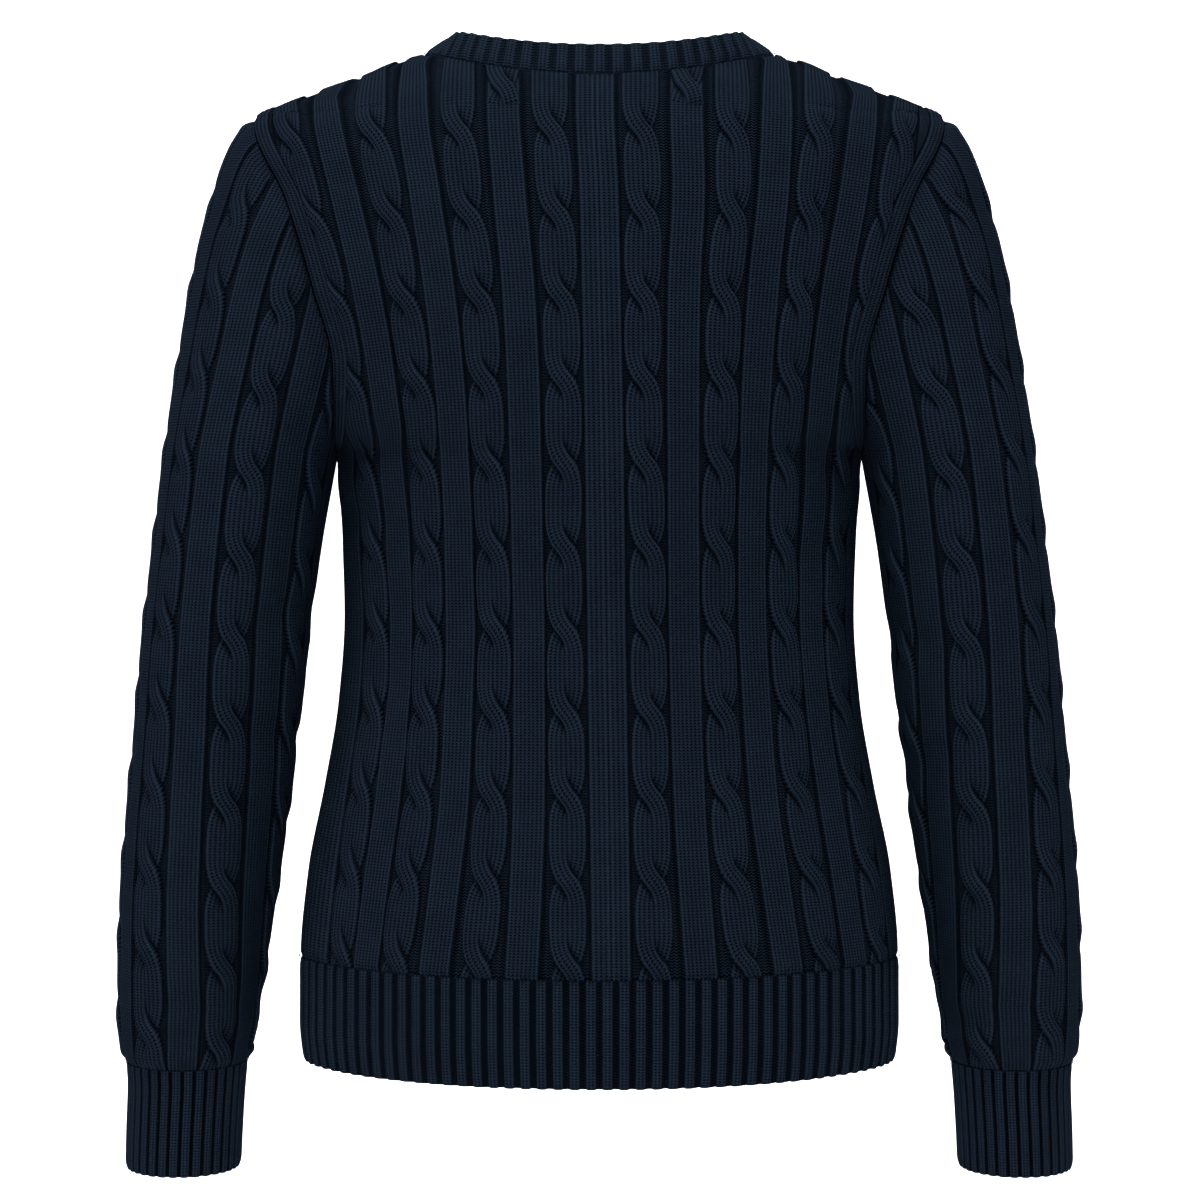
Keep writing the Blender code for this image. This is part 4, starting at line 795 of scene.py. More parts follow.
# %% The columns of half a body panel
def half_panel_columns(form, half):
    """The columns from the middle of a panel to its side seam or armhole, where its cables stand, and
    where the armhole's band begins. Half is 1 on the wearer's left and -1 on the right."""
    heights = form.heights
    edge = form.points[:, -1, 0]

    def place_of(x):
        rows = range(len(heights))
        inside = np.array([np.interp(x[i], form.points[i, :, 0], form.distance[i]) for i in rows])
        return half * inside + np.maximum(half * x - edge, 0.0)

    drift = drift_at(heights) * (1.0 if form.name == "back" else 0.0)
    middle = place_of(drift)
    cables = [place_of(half * at(heights) + drift) for at in cable_at]
    tip = int(np.argmin(np.abs(heights - SHOULDER_TIP)))
    held = np.where(heights > SHOULDER_TIP, form.limit[tip], form.limit)
    beside_arm = smooth_step((heights - UNDERARM + 0.03) / 0.05)
    band_limit = held - ARMHOLE_BAND * beside_arm

    columns = []
    for k in range(4):
        if k == 0:
            flat = np.minimum(CENTRE_FLAT_HALF, cables[0] - CABLE_HALF - LEAST_GROOVE - middle)
            add_flat(columns, middle, middle + flat, 0, FLAT_WALES // 2, FLAT_RISE)
            inner = middle + flat
            wale = FLAT_WALES // 2
        else:
            between = (cables[k] + cables[k - 1]) / 2
            half_gap = (cables[k] - cables[k - 1]) / 2 - CABLE_HALF
            flat = np.minimum(FLAT_HALF, half_gap - LEAST_GROOVE)
            add_groove(columns, cables[k - 1] + CABLE_HALF, between - flat, wale, BEFORE_FLAT)
            wale += GROOVE_WALES
            rise = FLAT_RISE
            if k == 1 and form.name == "back":
                opened = smooth_step((heights - NECK_CROSSING + 0.009) / 0.005)
                rise = FLAT_RISE - (FLAT_RISE + GROOVE_DEPTH) * opened
                neck_cables.append(half * between)
            add_flat(columns, between - flat, between + flat, wale, FLAT_WALES, rise)
            inner = between + flat
            wale += FLAT_WALES
        add_groove(columns, inner, cables[k] - CABLE_HALF, wale, AFTER_FLAT)
        wale += GROOVE_WALES
        for across in UNDER_CABLE:
            place = cables[k] + across * CABLE_HALF
            count = wale + FLAT_WALES * (across + 1) / 2
            # Painted shade on the ground under the cable, darkest under its middle.
            shade = 0.4 if abs(across) < 0.8 else 0.8
            columns.append(Column(place, count, -GROOVE_DEPTH, True, False, shade))
        wale += FLAT_WALES
    side_start = cables[3] + CABLE_HALF + 2 * LEAST_GROOVE
    add_groove(columns, cables[3] + CABLE_HALF, side_start, wale, BEFORE_FLAT)
    wale += GROOVE_WALES
    side_end = np.maximum(band_limit, side_start)
    add_flat(columns, side_start, side_end, wale, FLAT_WALES, FLAT_RISE)
    wale += FLAT_WALES
    for n, column in enumerate(columns):
        free = smooth_step((band_limit - column.place) / 0.0015)
        columns[n] = column._replace(
            place=np.minimum(column.place, band_limit), rise=column.rise * free)
    for i in range(2 * BAND_WALES + 1):
        share = i / (2 * BAND_WALES)
        place = band_limit + (held - band_limit) * share
        rounded = (0.45, 0.9)[i] if i < 2 else 1.0
        if i >= 2 * BAND_WALES - 1:
            rounded = (0.75, 0.2)[i - 2 * BAND_WALES + 1]
        rise = (BAND_RISE * rounded + wale_ridge(i)) * beside_arm
        if i == 2 * BAND_WALES:
            place = form.limit
        # Painted shade on the band's first line, where it rises from the panel, and a painted highlight
        # on the next.
        shade = {0: 0.45, 1: EDGE_LIGHT}.get(i, 1.0)
        shade = 1 + (shade - 1) * float(beside_arm.max() > 0)
        columns.append(Column(place, wale + i / 2, rise, False, i == 2 * BAND_WALES, shade))
    return columns, cables, band_limit


def turned_over(half):
    """The same columns on the other side of the middle, without the one in the middle."""
    turned = [c._replace(place=-c.place, wale=-c.wale) for c in half[1:]][::-1]
    finish = [c.purl_after for c in half[:-1]][::-1]
    return [c._replace(purl_after=after) for c, after in zip(turned, finish)]


# %% The ground of a piece, from its columns
def knit_ground(cloth, form, columns, rows, closed=False):
    """A fine outer grid: each column is a line, and its rows are spread evenly along it. The relief
    fades at both ends, and the ends are tucked in behind the bands."""
    places = np.stack([np.broadcast_to(c.place, form.heights.shape) for c in columns])
    held = None
    if closed:
        to_seam = np.minimum(np.arange(len(columns)), np.arange(len(columns))[::-1])
        held = form.limit[None, :] - SLEEVE_HUG * np.minimum(to_seam, HUGGED)[:, None]
    lines = lines_on(form, places, [c.edge for c in columns], held)
    spread = np.linspace(0.0, 1.0, rows)
    points = np.zeros((len(lines), rows, 3))
    outward = np.zeros_like(points)
    counts = np.zeros((len(lines), rows, 2))
    for n, (line, column) in enumerate(zip(lines, columns)):
        wanted = spread * line.length
        points[n], outward[n] = read_line(line, wanted)
        rise = np.interp(points[n, :, 2], form.heights, np.broadcast_to(
            column.rise, form.heights.shape))
        to_end = line.length - wanted
        # Kept is how much of the relief is left, which fades over a few millimetres at each end.
        if form.name in ("back", "front"):
            at_neck = abs(line.points[-1, 0]) < NECK_HALF_WIDTH * 1.002
            kept = smooth_step(to_end / 0.007) if at_neck else np.ones(rows)
        else:
            kept = smooth_step((to_end - 0.0005) / 0.005)
        kept = kept * (0.6 + 0.4 * smooth_step(wanted / 0.003))
        points[n] += outward[n] * (rise * kept)[:, None]
        counts[n, :, 0] = column.wale
        counts[n, :, 1] = wanted / COURSE
        if closed and points[n, -1, 2] > UNDERARM + 0.003:
            points[n, -1, 0] -= math.copysign(CAP_TUCK, points[n, -1, 0])
            points[n, -1] -= outward[n, -1] * CAP_TUCK / 2
        points[n, 0, 2] -= BAND_TUCK
        points[n, 0] -= outward[n, 0] * BAND_TUCK
    points -= outward * sunk_by_creases(form.name, points)[..., None]
    shades = np.array([column.shade for column in columns])[:, None]
    index = cloth.add_grid(points, counts, shade=shades)
    finish = np.array([1 if c.purl_after else 0 for c in columns])
    cloth.fill(index, finish if closed else finish[:-1], closed)
    return index


def plain_inside(cloth, form, shares, rows, closed=False):
    """The plain inner face of the cloth, a wall's thickness in from the form."""
    tip = int(np.argmin(np.abs(form.heights - SHOULDER_TIP)))
    above_tip = form.heights > SHOULDER_TIP
    if form.name in ("back", "front"):
        held = np.where(above_tip, form.limit[tip], form.limit)
        places = np.stack([share * held for share in shares])
        places[0] = -form.limit
        places[-1] = form.limit
    else:
        under = int(np.argmin(np.abs(form.heights - UNDERARM)))
        held = np.where(form.heights > UNDERARM, form.limit[under], form.limit)
        places = np.stack([share * held for share in shares])
    edges = [n in (0, len(shares) - 1) for n in range(len(shares))]
    lines = lines_on(form, places, edges, None if not closed else form.limit[None, :])
    spread = np.linspace(0.0, 1.0, rows)
    points = np.zeros((len(lines), rows, 3))
    counts = np.zeros((len(lines), rows, 2))
    for n, line in enumerate(lines):
        wanted = INNER_STEP + spread * (line.length - 2 * INNER_STEP)
        base, outward = read_line(line, wanted)
        points[n] = base - outward * WALL
        points[n] -= outward * sunk_by_creases(form.name, base)[..., None]
        counts[n, :, 0] = np.interp(base[:, 2], form.heights, places[n]) / WALE
        counts[n, :, 1] = wanted / COURSE
    if form.name == "back":
        points[..., 1] = np.maximum(points[..., 1], SEAM_GAP / 2)
    if form.name == "front":
        points[..., 1] = np.minimum(points[..., 1], -SEAM_GAP / 2)
    index = cloth.add_grid(points, counts)
    cloth.fill(index, 1, closed)
    return index


# %% Knit the back and the front
PANEL_ROWS = 200
INSIDE_ROWS = 60
pieces = {}
cable_places = {}
for side in ("back", "front"):
    form = forms[side]
    plus, cables_plus, limit_plus = half_panel_columns(form, 1.0)
    minus, cables_minus, limit_minus = half_panel_columns(form, -1.0)
    columns = turned_over(minus) + plus
    cable_places[side] = [(p, limit_plus) for p in cables_plus]
    cable_places[side] += [(-p, limit_minus) for p in cables_minus]
    cloth = Cloth()
    outer = knit_ground(cloth, form, columns, PANEL_ROWS)
    inner = plain_inside(cloth, form, np.linspace(-1.0, 1.0, 41), INSIDE_ROWS)
    cloth.close(outer, inner)
    pieces[f"body_{side}"] = cloth.make(f"knit_{side}", [plain_yarn, purl_yarn])
    print(side, len(columns), "columns,", len(pieces[f"body_{side}"].data.polygons), "faces")


# %% [markdown]
# ## Cables
# A cable is eight columns of plain stitches. Every so often its left four are lifted over its right
# four and knitted first. Here each group of four is a ribbon that runs up the whole cable: it lies over
# the other at one crossing and dives under it at the next. The cable draws in where it crosses.

# %% Where the two strands of a cable lie, and how high
CABLE_PINCH = 0.38           # how much narrower a cable is where it crosses
CROSSING_COVER = 0.66        # how far the upper strand reaches over the middle there
CREASE_REACH = 0.30          # of a repeat, to each side of the crossing
CREASE_WIDTH = 0.0017
CREASE_DEPTH = 0.0012
STRAND_WALES = 4
STRAND_ACROSS = np.array(    # lines across a strand, closer together at its rounded edges
    [0.0, 0.04, 0.1, 0.17, 0.25, 0.375, 0.5, 0.625, 0.75, 0.83, 0.9, 0.96, 1.0])
STRAND_ROUNDING = 0.34       # the share of a strand's width that each edge is rounded over
EDGE_DROP = 0.0009           # how far the rounded edge drops below the ground
CABLE_ROW = 0.0020


def cable_half(phase):
    """Half the cable's width. The phase is in repeats from the nearest crossing, from -0.5 to 0.5."""
    return CABLE_HALF * (1.04 - CABLE_PINCH * (1 - np.minimum(np.abs(phase), 0.5) / 0.5) ** 3.0)


def strand_cover(phase):
    """How far the upper strand reaches past the middle of the cable."""
    near = np.clip(1 - np.abs(phase) / CREASE_REACH, 0.0, 1.0)
    return CABLE_HALF * CROSSING_COVER * near ** 2.1


def strand_shape(phase, is_over):
    """Left and right edge of a strand, seen from outside with right as plus, its height, and how
    much each edge is rounded off."""
    half = cable_half(phase)
    cover = strand_cover(phase)
    above = phase >= 0
    lens = np.where(above, -half, -cover), np.where(above, cover, half)
    near = np.exp(-(phase / 0.2) ** 2)
    crease = smooth_step((CREASE_REACH + 0.02 - np.abs(phase)) / 0.17)
    left_edge = np.where(above, 1.0, crease)
    right_edge = np.where(above, crease, 1.0)
    over_height = CABLE_RISE + CROSSING_RISE * near
    under_height = CABLE_RISE - UNDER_DROP * near
    left = np.where(is_over, lens[0], -lens[1])
    right = np.where(is_over, lens[1], -lens[0])
    height = np.where(is_over, over_height, under_height)
    round_left = np.where(is_over, left_edge, right_edge)
    round_right = np.where(is_over, right_edge, left_edge)
    return left, right, height, round_left, round_right


def crease_beside(phase, offset, is_over):
    """How deep in the crease a point of the lower strand lies, from 0 to 1."""
    edge = np.where(phase >= 0, strand_cover(phase), -strand_cover(phase))
    away = np.where(phase >= 0, offset - edge, edge - offset)
    strength = smooth_step((CREASE_REACH - np.abs(phase)) / 0.15)
    return np.where(is_over, 0.0, strength * np.exp(-(np.maximum(away, 0.0) / CREASE_WIDTH) ** 2))


def rounded_edge(across, width):
    """From 0 at the strand's edge to 1 on its top."""
    inside = np.clip(across / width, 0.0, 1.0)
    return (1 - (1 - inside) ** 2.4) ** (1 / 2.4)


print("a cable is", round(2000 * float(cable_half(0.5)), 1), "mm wide, and",
      round(2000 * float(cable_half(0.0)), 1), "mm where it crosses")


# %% Two ribbons for each cable
BASE_OFFSETS = np.linspace(-0.012, 0.012, 9)         # lines of the form that the ribbons lie on
SPINE = len(BASE_OFFSETS) // 2


def add_cable(cloth, form, middle, limit, right_is_plus, first, repeat, start=-1.0):
    """Two ribbons up a line. With a start height the cable grows out of a plain panel there."""
    places = middle[None, :] + BASE_OFFSETS[:, None]
    on_panel = form.name in ("back", "front")
    lines = lines_on(form, places, held=form.limit if on_panel else limit)
    room_at = [limit - np.abs(p) for p in places]
    longest = max(line.length for line in lines)
    rows = int(math.ceil(longest / CABLE_ROW)) + 1
    up = np.linspace(0.0, longest, rows)
    base = np.zeros((len(lines), rows, 3))
    outward = np.zeros_like(base)
    room = np.zeros((len(lines), rows))
    for n, line in enumerate(lines):
        base[n], outward[n] = read_line(line, np.minimum(up, line.length))
        room[n] = np.interp(base[n, :, 2], form.heights, room_at[n])
    lengths = np.array([line.length for line in lines])
    spine_height = base[SPINE, :, 2]
    level = spine_height + SLEEVE_SLANT * (0.0 if on_panel else 1.0) * np.maximum(
        outer_at(spine_height) - np.abs(base[SPINE, :, 0]), 0.0)
    turns = (level - form.heights[0] - first) / repeat
    turns += np.maximum(up - lengths[SPINE], 0.0) / repeat
    last_crossing = math.floor(turns[-1] - 0.22)
    crossing = np.minimum(np.round(turns), last_crossing)
    phase = np.minimum(turns - crossing, 0.5)
    step = BASE_OFFSETS[1] - BASE_OFFSETS[0]
    sign = 1.0 if right_is_plus else -1.0
    # Sink is the width over which a cable goes down into a seam. It is less along the armhole.
    beside_arm = smooth_step((spine_height - UNDERARM + 0.02) / 0.03)
    sink = 0.0035 - 0.0019 * beside_arm * (1.0 if on_panel else 0.0)
    at_neck = on_panel and abs(base[SPINE, -1, 0]) < NECK_HALF_WIDTH * 1.03
    for strand in (0, 1):
        is_over = (crossing + strand) % 2 == 0
        left, right, height, round_left, round_right = strand_shape(phase, is_over)
        across = STRAND_ACROSS[:, None]
        offset = left + (right - left) * across
        centre = (left + right) / 2
        lean = np.gradient(centre, up)
        top = 1 - round_left * (1 - rounded_edge(across, STRAND_ROUNDING))
        top = top * (1 - round_right * (1 - rounded_edge(1 - across, STRAND_ROUNDING)))
        ridges = WALE_RIDGE * (0.5 - 0.5 * np.cos(2 * math.pi * STRAND_WALES * across))
        creased = crease_beside(phase, offset, is_over)
        rise = (height + ridges) * top - EDGE_DROP * (1 - top) - CREASE_DEPTH * creased
        # Painted shade where a strand's edge rounds down and in the crease beside the upper strand, and
        # a painted highlight a little in from each rounded edge.
        side_light = np.exp(-((np.minimum(across, 1 - across) - 0.12) / 0.055) ** 2)
        shade = (0.3 + 0.7 * smooth_step(top / 0.8)) * (1 - 0.75 * creased)
        shade = shade * (1 + (EDGE_LIGHT - 1) * side_light * np.where(
            across < 0.5, round_left, round_right))
        column = np.clip((sign * offset - BASE_OFFSETS[0]) / step, 0.0, len(lines) - 1.001)
        low = column.astype(int)
        t = (column - low)[..., None]
        row = np.arange(rows)[None, :]
        points = base[low, row] * (1 - t) + base[low + 1, row] * t
        away = unit(outward[low, row] * (1 - t) + outward[low + 1, row] * t)
        free = room[low, row] * (1 - t[..., 0]) + room[low + 1, row] * t[..., 0]
        length = lengths[low] * (1 - t[..., 0]) + lengths[low + 1] * t[..., 0]
        to_end = length - up
        # Kept is how much of the relief is left: a cable flattens towards each seam that it meets.
        kept = smooth_step((free + sink / 2) / sink)
        if at_neck:
            kept = kept * (0.55 + 0.45 * smooth_step(to_end / 0.005))
        elif on_panel:
            kept = kept * (0.5 + 0.5 * smooth_step(to_end / 0.012))
        else:
            kept = kept * smooth_step((to_end - 0.001) / 0.008)
        kept = kept * (0.5 + 0.5 * smooth_step(up / 0.006))
        kept = kept * smooth_step((spine_height - start) / 0.005)
        lifted = np.where(rise > 0, rise * kept, rise) - 0.0006 * (1 - kept)
        points = points + away * (lifted - sunk_by_creases(form.name, points))[..., None]
        counts = np.zeros(points.shape[:2] + (2,))
        counts[..., 0] = STRAND_WALES * across + STRAND_WALES * strand
        counts[..., 1] = (up + lean * (offset - centre)) / COURSE
        index = cloth.add_grid(points, counts, shade=shade)
        used = np.nonzero((to_end.max(axis=0) > -CABLE_ROW) & (spine_height > start))[0]
        cloth.fill(index[:, used], 0)


# %% Cables on the back and the front
for side in ("back", "front"):
    cloth = Cloth()
    for middle, limit in cable_places[side]:
        add_cable(cloth, forms[side], middle, limit, side == "front",
                  BODY_FIRST_CROSSING, BODY_REPEAT)
    if side == "back":
        for middle in neck_cables:
            add_cable(cloth, forms[side], middle, forms[side].limit, False,
                      NECK_CROSSING - HEM_SEAM, BODY_REPEAT, start=NECK_CROSSING - 0.014)
    piece = cloth.make(f"cables_{side}", [plain_yarn], closed_shell=False)
    pieces[f"cables_{side}"] = piece
    print(piece.name, len(piece.data.polygons), "faces")


# %% [markdown]
# ## Sleeves
# A sleeve is knitted flat and sewn into a tube. It has a cable down its outer line and three more on
# each side, which run into the seam as the arm gets thinner. Its cap ends behind the armhole's band.

# %% The columns of half a sleeve
SLEEVE_ROWS = 180
GATHERED_BELOW = -0.5600


def gathered(form):
    """Above the cuff the columns draw in together, because the band gathers the whole tube."""
    start = float(np.interp(GATHERED_BELOW, form.heights, form.limit))
    return np.where(form.heights < GATHERED_BELOW, form.limit / start, 1.0)


def half_sleeve_columns(form):
    """The columns from the outer line of a sleeve to the seam under the arm."""
    gap = (SLEEVE_PITCH - 2 * CABLE_HALF - 2 * FLAT_HALF) / 2
    columns = []
    wale = 0
    for k in range(SLEEVE_CABLES + 1):
        middle = k * SLEEVE_PITCH
        for across in UNDER_CABLE[2:] if k == 0 else UNDER_CABLE:
            count = wale + FLAT_WALES * (across + 1) / 2
            place = middle + across * CABLE_HALF
            # The last number paints shade on the ground under the cable.
            columns.append(Column(place, count, -GROOVE_DEPTH, True, False, 0.7))
        wale += FLAT_WALES
        flat_start = middle + CABLE_HALF + gap
        add_groove(columns, middle + CABLE_HALF, flat_start, wale, BEFORE_FLAT)
        wale += GROOVE_WALES
        flat_end = flat_start + 2 * FLAT_HALF
        add_flat(columns, flat_start, flat_end, wale, FLAT_WALES, FLAT_RISE)
        wale += FLAT_WALES
        if k < SLEEVE_CABLES:
            add_groove(columns, flat_end, flat_end + gap, wale, AFTER_FLAT)
            wale += GROOVE_WALES
    drawn_in = gathered(form)
    columns = [column._replace(place=column.place * drawn_in) for column in columns]
    columns.append(Column(1.0, wale, 0.0, False, True, 1.0))
    return columns


print("half a sleeve has", len(half_sleeve_columns(forms["sleeve_left"])), "columns")

# %% Knit both sleeves
for side in ("left", "right"):
    name = f"sleeve_{side}"
    form = forms[name]
    half = half_sleeve_columns(form)
    cloth = Cloth()
    outer = knit_ground(cloth, form, turned_over(half) + half, SLEEVE_ROWS, closed=True)
    inner = plain_inside(cloth, form, np.linspace(-1.0, 1.0, 31), INSIDE_ROWS, closed=True)
    cloth.close(outer, inner, closed=True)
    pieces[name] = cloth.make(f"knit_{name}", [plain_yarn, purl_yarn])
    cables = Cloth()
    for k in range(-SLEEVE_CABLES, SLEEVE_CABLES + 1):
        middle = k * SLEEVE_PITCH * gathered(form)
        add_cable(cables, form, middle, form.limit - 0.0006, side == "left",
                  SLEEVE_FIRST_CROSSING, SLEEVE_REPEAT)
    pieces[f"cables_{name}"] = cables.make(f"cables_{name}", [plain_yarn], closed_shell=False)
    print(name, len(pieces[name].data.polygons), "and",
          len(pieces[f"cables_{name}"].data.polygons), "faces")


# %% [markdown]
# ## Ribbed bands
# The hem, the cuffs and the neckband are ribbed: three plain columns stand up, two purl ones sink
# back. A rib repeats along a band, so Geometry Nodes raise it. The band is first made plain, with its
# count of columns in its UV map and its direction outwards kept on each point, and the node tree then
# moves the points out by a rounded profile of that count. The inside keeps a direction of zero, so
# it stays plain.

# %% The node tree that raises ribs
CREST_ROUNDNESS = 2.6        # 2 is a half circle, and more is flatter on top


def rib_tree():
    """Moves each point out by its mark, times the rib's profile at its count of columns."""
    tree = bpy.data.node_groups.new("raise_ribs", "GeometryNodeTree")
    face = tree.interface
    face.new_socket("Geometry", in_out="INPUT", socket_type="NodeSocketGeometry")
    sizes = (("Rib columns", RIB_WALES), ("Crest share", CREST_SHARE), ("Rib rise", RIB_RISE))
    for name, value in sizes:
        socket = face.new_socket(name, in_out="INPUT", socket_type="NodeSocketFloat")
        socket.default_value = value
    face.new_socket("Yarn", in_out="INPUT", socket_type="NodeSocketMaterial")
    face.new_socket("Geometry", in_out="OUTPUT", socket_type="NodeSocketGeometry")
    entry = tree.nodes.new("NodeGroupInput")
    leave = tree.nodes.new("NodeGroupOutput")

    def attribute(name, kind):
        node = tree.nodes.new("GeometryNodeInputNamedAttribute")
        node.data_type = kind
        node.inputs["Name"].default_value = name
        return node.outputs["Attribute"]

    split = tree.nodes.new("ShaderNodeSeparateXYZ")
    tree.links.new(attribute("knit", "FLOAT_VECTOR"), split.inputs[0])
    in_rib = calculate(tree, "FRACT", calculate(
        tree, "DIVIDE", split.outputs["X"], entry.outputs["Rib columns"]))
    crest = calculate(tree, "DIVIDE", in_rib, entry.outputs["Crest share"])
    aside = calculate(tree, "ABSOLUTE", calculate(tree, "MULTIPLY_ADD", crest, 2.0, -1.0))
    inside = calculate(tree, "SUBTRACT", 1.0, calculate(tree, "POWER", aside, CREST_ROUNDNESS))
    rounded = calculate(tree, "POWER", calculate(tree, "MAXIMUM", inside, 0.0), 0.5)
    rise = calculate(tree, "MULTIPLY", rounded, entry.outputs["Rib rise"])
    scale = tree.nodes.new("ShaderNodeVectorMath")
    scale.operation = "SCALE"
    tree.links.new(attribute("outward", "FLOAT_VECTOR"), scale.inputs[0])
    tree.links.new(rise, scale.inputs["Scale"])
    move = tree.nodes.new("GeometryNodeSetPosition")
    tree.links.new(entry.outputs["Geometry"], move.inputs["Geometry"])
    tree.links.new(scale.outputs[0], move.inputs["Offset"])
    real = tree.nodes.new("GeometryNodeRealizeInstances")
    tree.links.new(move.outputs[0], real.inputs[0])
    paint = tree.nodes.new("GeometryNodeSetMaterial")
    tree.links.new(real.outputs[0], paint.inputs["Geometry"])
    tree.links.new(entry.outputs["Yarn"], paint.inputs["Material"])
    tree.links.new(paint.outputs[0], leave.inputs[0])
    return tree


raise_ribs = rib_tree()
print("rib tree with", len(raise_ribs.nodes), "nodes")


# %% Run a node tree on a piece and keep the result as a plain mesh
def through_nodes(piece, tree, **inputs):
    """An input is named as in the tree, with _ for a space, and set by its socket's identifier."""
    modifier = piece.modifiers.new(tree.name, "NODES")
    modifier.node_group = tree
    for item in tree.interface.items_tree:
        name = item.name.replace(" ", "_")
        if item.in_out == "INPUT" and name in inputs:
            modifier[item.identifier] = inputs[name]
    bpy.context.view_layer.update()
    graph = bpy.context.evaluated_depsgraph_get()
    mesh = bpy.data.meshes.new_from_object(piece.evaluated_get(graph), depsgraph=graph)
    piece.modifiers.remove(modifier)
    mesh.name = piece.name
    piece.data = mesh
    mesh.shade_smooth()
    mesh.set_sharp_from_angle(angle=SHARP_EDGE)
    return piece


# %% How ribs share out a band, and how light falls between them
RIB_STEPS = 10               # lines for each rib


def rib_profile(wale):
    """How high a rib stands at a count of columns, from 0 in the valley to 1 on the crest."""
    crest = (wale / RIB_WALES) % 1.0 / CREST_SHARE
    return np.sqrt(np.maximum(1 - np.abs(2 * crest - 1) ** CREST_ROUNDNESS, 0.0))


def rib_spread(ribs, crest):
    """Counts of columns round a band, and where they lie on it when its crests take up more than
    their share of its length."""
    wales = np.linspace(0.0, ribs * RIB_WALES, ribs * RIB_STEPS + 1) - 1.0
    whole = np.floor(wales / RIB_WALES + 1e-9)
    part = wales / RIB_WALES - whole
    on_crest = part / CREST_SHARE * crest
    in_valley = crest + (part - CREST_SHARE) / (1 - CREST_SHARE) * (1 - crest)
    place = whole + np.where(part < CREST_SHARE, on_crest, in_valley)
    return wales, (place - place[0]) / (place[-1] - place[0])


def rib_light(wales, valley):
    """Painted shade: less light reaches the yarn down between two ribs, so the colour there is darker.
    """
    return valley + (1 - valley) * smooth_step(rib_profile(wales) / 0.6)


print("a rib is", RIB_STEPS, "lines wide")


# %% A level band: half a hem, or a whole cuff
BAND_ROWS = 26
BAND_SCALLOP = 0.0005        # how far the plain columns of a rib hang below the purl ones
# A band's valley is the painted shade down between its ribs, and its light a painted brightening of the
# whole band.
Band = namedtuple("Band", "name ribs crest valley light scallop rise closed")


def band_heights(bottom, seam):
    return bottom + (seam - SEAM_GAP - bottom) * np.linspace(0.0, 1.0, BAND_ROWS)


def ribbed_band(form, band):
    """The outside is laid plain on the form, and the node tree raises its ribs. They are lower at
    both ends, and their lower edge is a row of shallow scallops."""
    heights = form.heights
    wales, places = rib_spread(band.ribs, band.crest)
    shares = 2 * places - 1
    if band.closed:
        wales = wales[:-1]
        shares = shares[:-1]
    points = np.zeros((len(shares), BAND_ROWS, 3))
    outward = np.zeros_like(points)
    for row in range(BAND_ROWS):
        wanted = shares * form.limit[row]
        for c in range(3):
            points[:, row, c] = np.interp(wanted, form.distance[row], form.points[row, :, c])
            outward[:, row, c] = np.interp(wanted, form.distance[row], form.outward[row, :, c])
    outward = unit(outward)
    tail = smooth_step((heights - heights[0]) / 0.004)
    head = 0.6 + 0.4 * smooth_step((heights[-1] - heights) / 0.004)
    marks = outward * (tail * 0.75 + 0.25)[None, :, None] * head[None, :, None]
    if not band.closed:
        marks[0] = 0.0
        marks[-1] = 0.0
    scallop = band.scallop * rib_profile(wales)[:, None] * (1 - smooth_step(
        (heights - heights[0]) / 0.006))[None, :]
    points[..., 2] += band.scallop * (1 - tail)[None, :] - scallop
    counts = np.zeros(points.shape[:2] + (2,))
    counts[..., 0] = wales[:, None]
    counts[..., 1] = (heights / COURSE)[None, :]
    cloth = Cloth()
    # Painted light over the band and painted shade in its valleys.
    shade = band.light * rib_light(wales, band.valley)[:, None]
    outer = cloth.add_grid(points, counts, marks, shade)
    cloth.fill(outer, 0, band.closed)
    if band.closed:
        inner_lines = np.arange(0, len(shares), 8)
    else:
        inner_lines = np.linspace(0, len(shares) - 1, 45).astype(int)
    inner_rows = np.linspace(0, BAND_ROWS - 1, 9).astype(int)
    inside = points[inner_lines][:, inner_rows] - outward[inner_lines][:, inner_rows] * WALL
    inside[:, -1, 2] -= INNER_STEP
    inner = cloth.add_grid(inside, counts[inner_lines][:, inner_rows])
    cloth.fill(inner, 0, band.closed)
    cloth.close(outer, inner, band.closed)
    piece = cloth.make(band.name, [rib_yarn])
    through_nodes(piece, raise_ribs, Yarn=rib_yarn, Rib_rise=band.rise)
    print(piece.name, len(piece.data.polygons), "faces")
    return piece


# %% The hem: two halves that meet at the side seams
for side in ("back", "front"):
    form = panel_form(side, band_heights(HEM_BOTTOM, HEM_SEAM))
    # The hem's valleys are painted half in shade, and the hem is painted a quarter lighter.
    band = Band(f"ribbed_hem_{side}", HEM_RIBS, crest=0.67, valley=0.5, light=1.25,
                scallop=BAND_SCALLOP, rise=RIB_RISE, closed=False)
    pieces[f"hem_rib_{side}"] = ribbed_band(form, band)

# %% The cuffs
for side in ("left", "right"):
    form = sleeve_form(f"sleeve_{side}", band_heights(CUFF_BOTTOM, CUFF_SEAM))
    # The cuffs' valleys are painted deep in shade, and the cuffs are painted lighter.
    band = Band(f"ribbed_cuff_{side}", CUFF_RIBS, crest=0.8, valley=0.2, light=1.35,
                scallop=0.8 * BAND_SCALLOP, rise=0.0015, closed=True)
    pieces[f"cuff_{side}"] = ribbed_band(form, band)


# %% [markdown]
# ## Neckband
# The neckband is picked up round the neck and knitted outwards: up one edge of the V, round the back,
# and down the other. At the point of the V its two ends are drawn together into a mitre. Behind the
# neck it stands up, because a band that is shorter than its edge leans in.

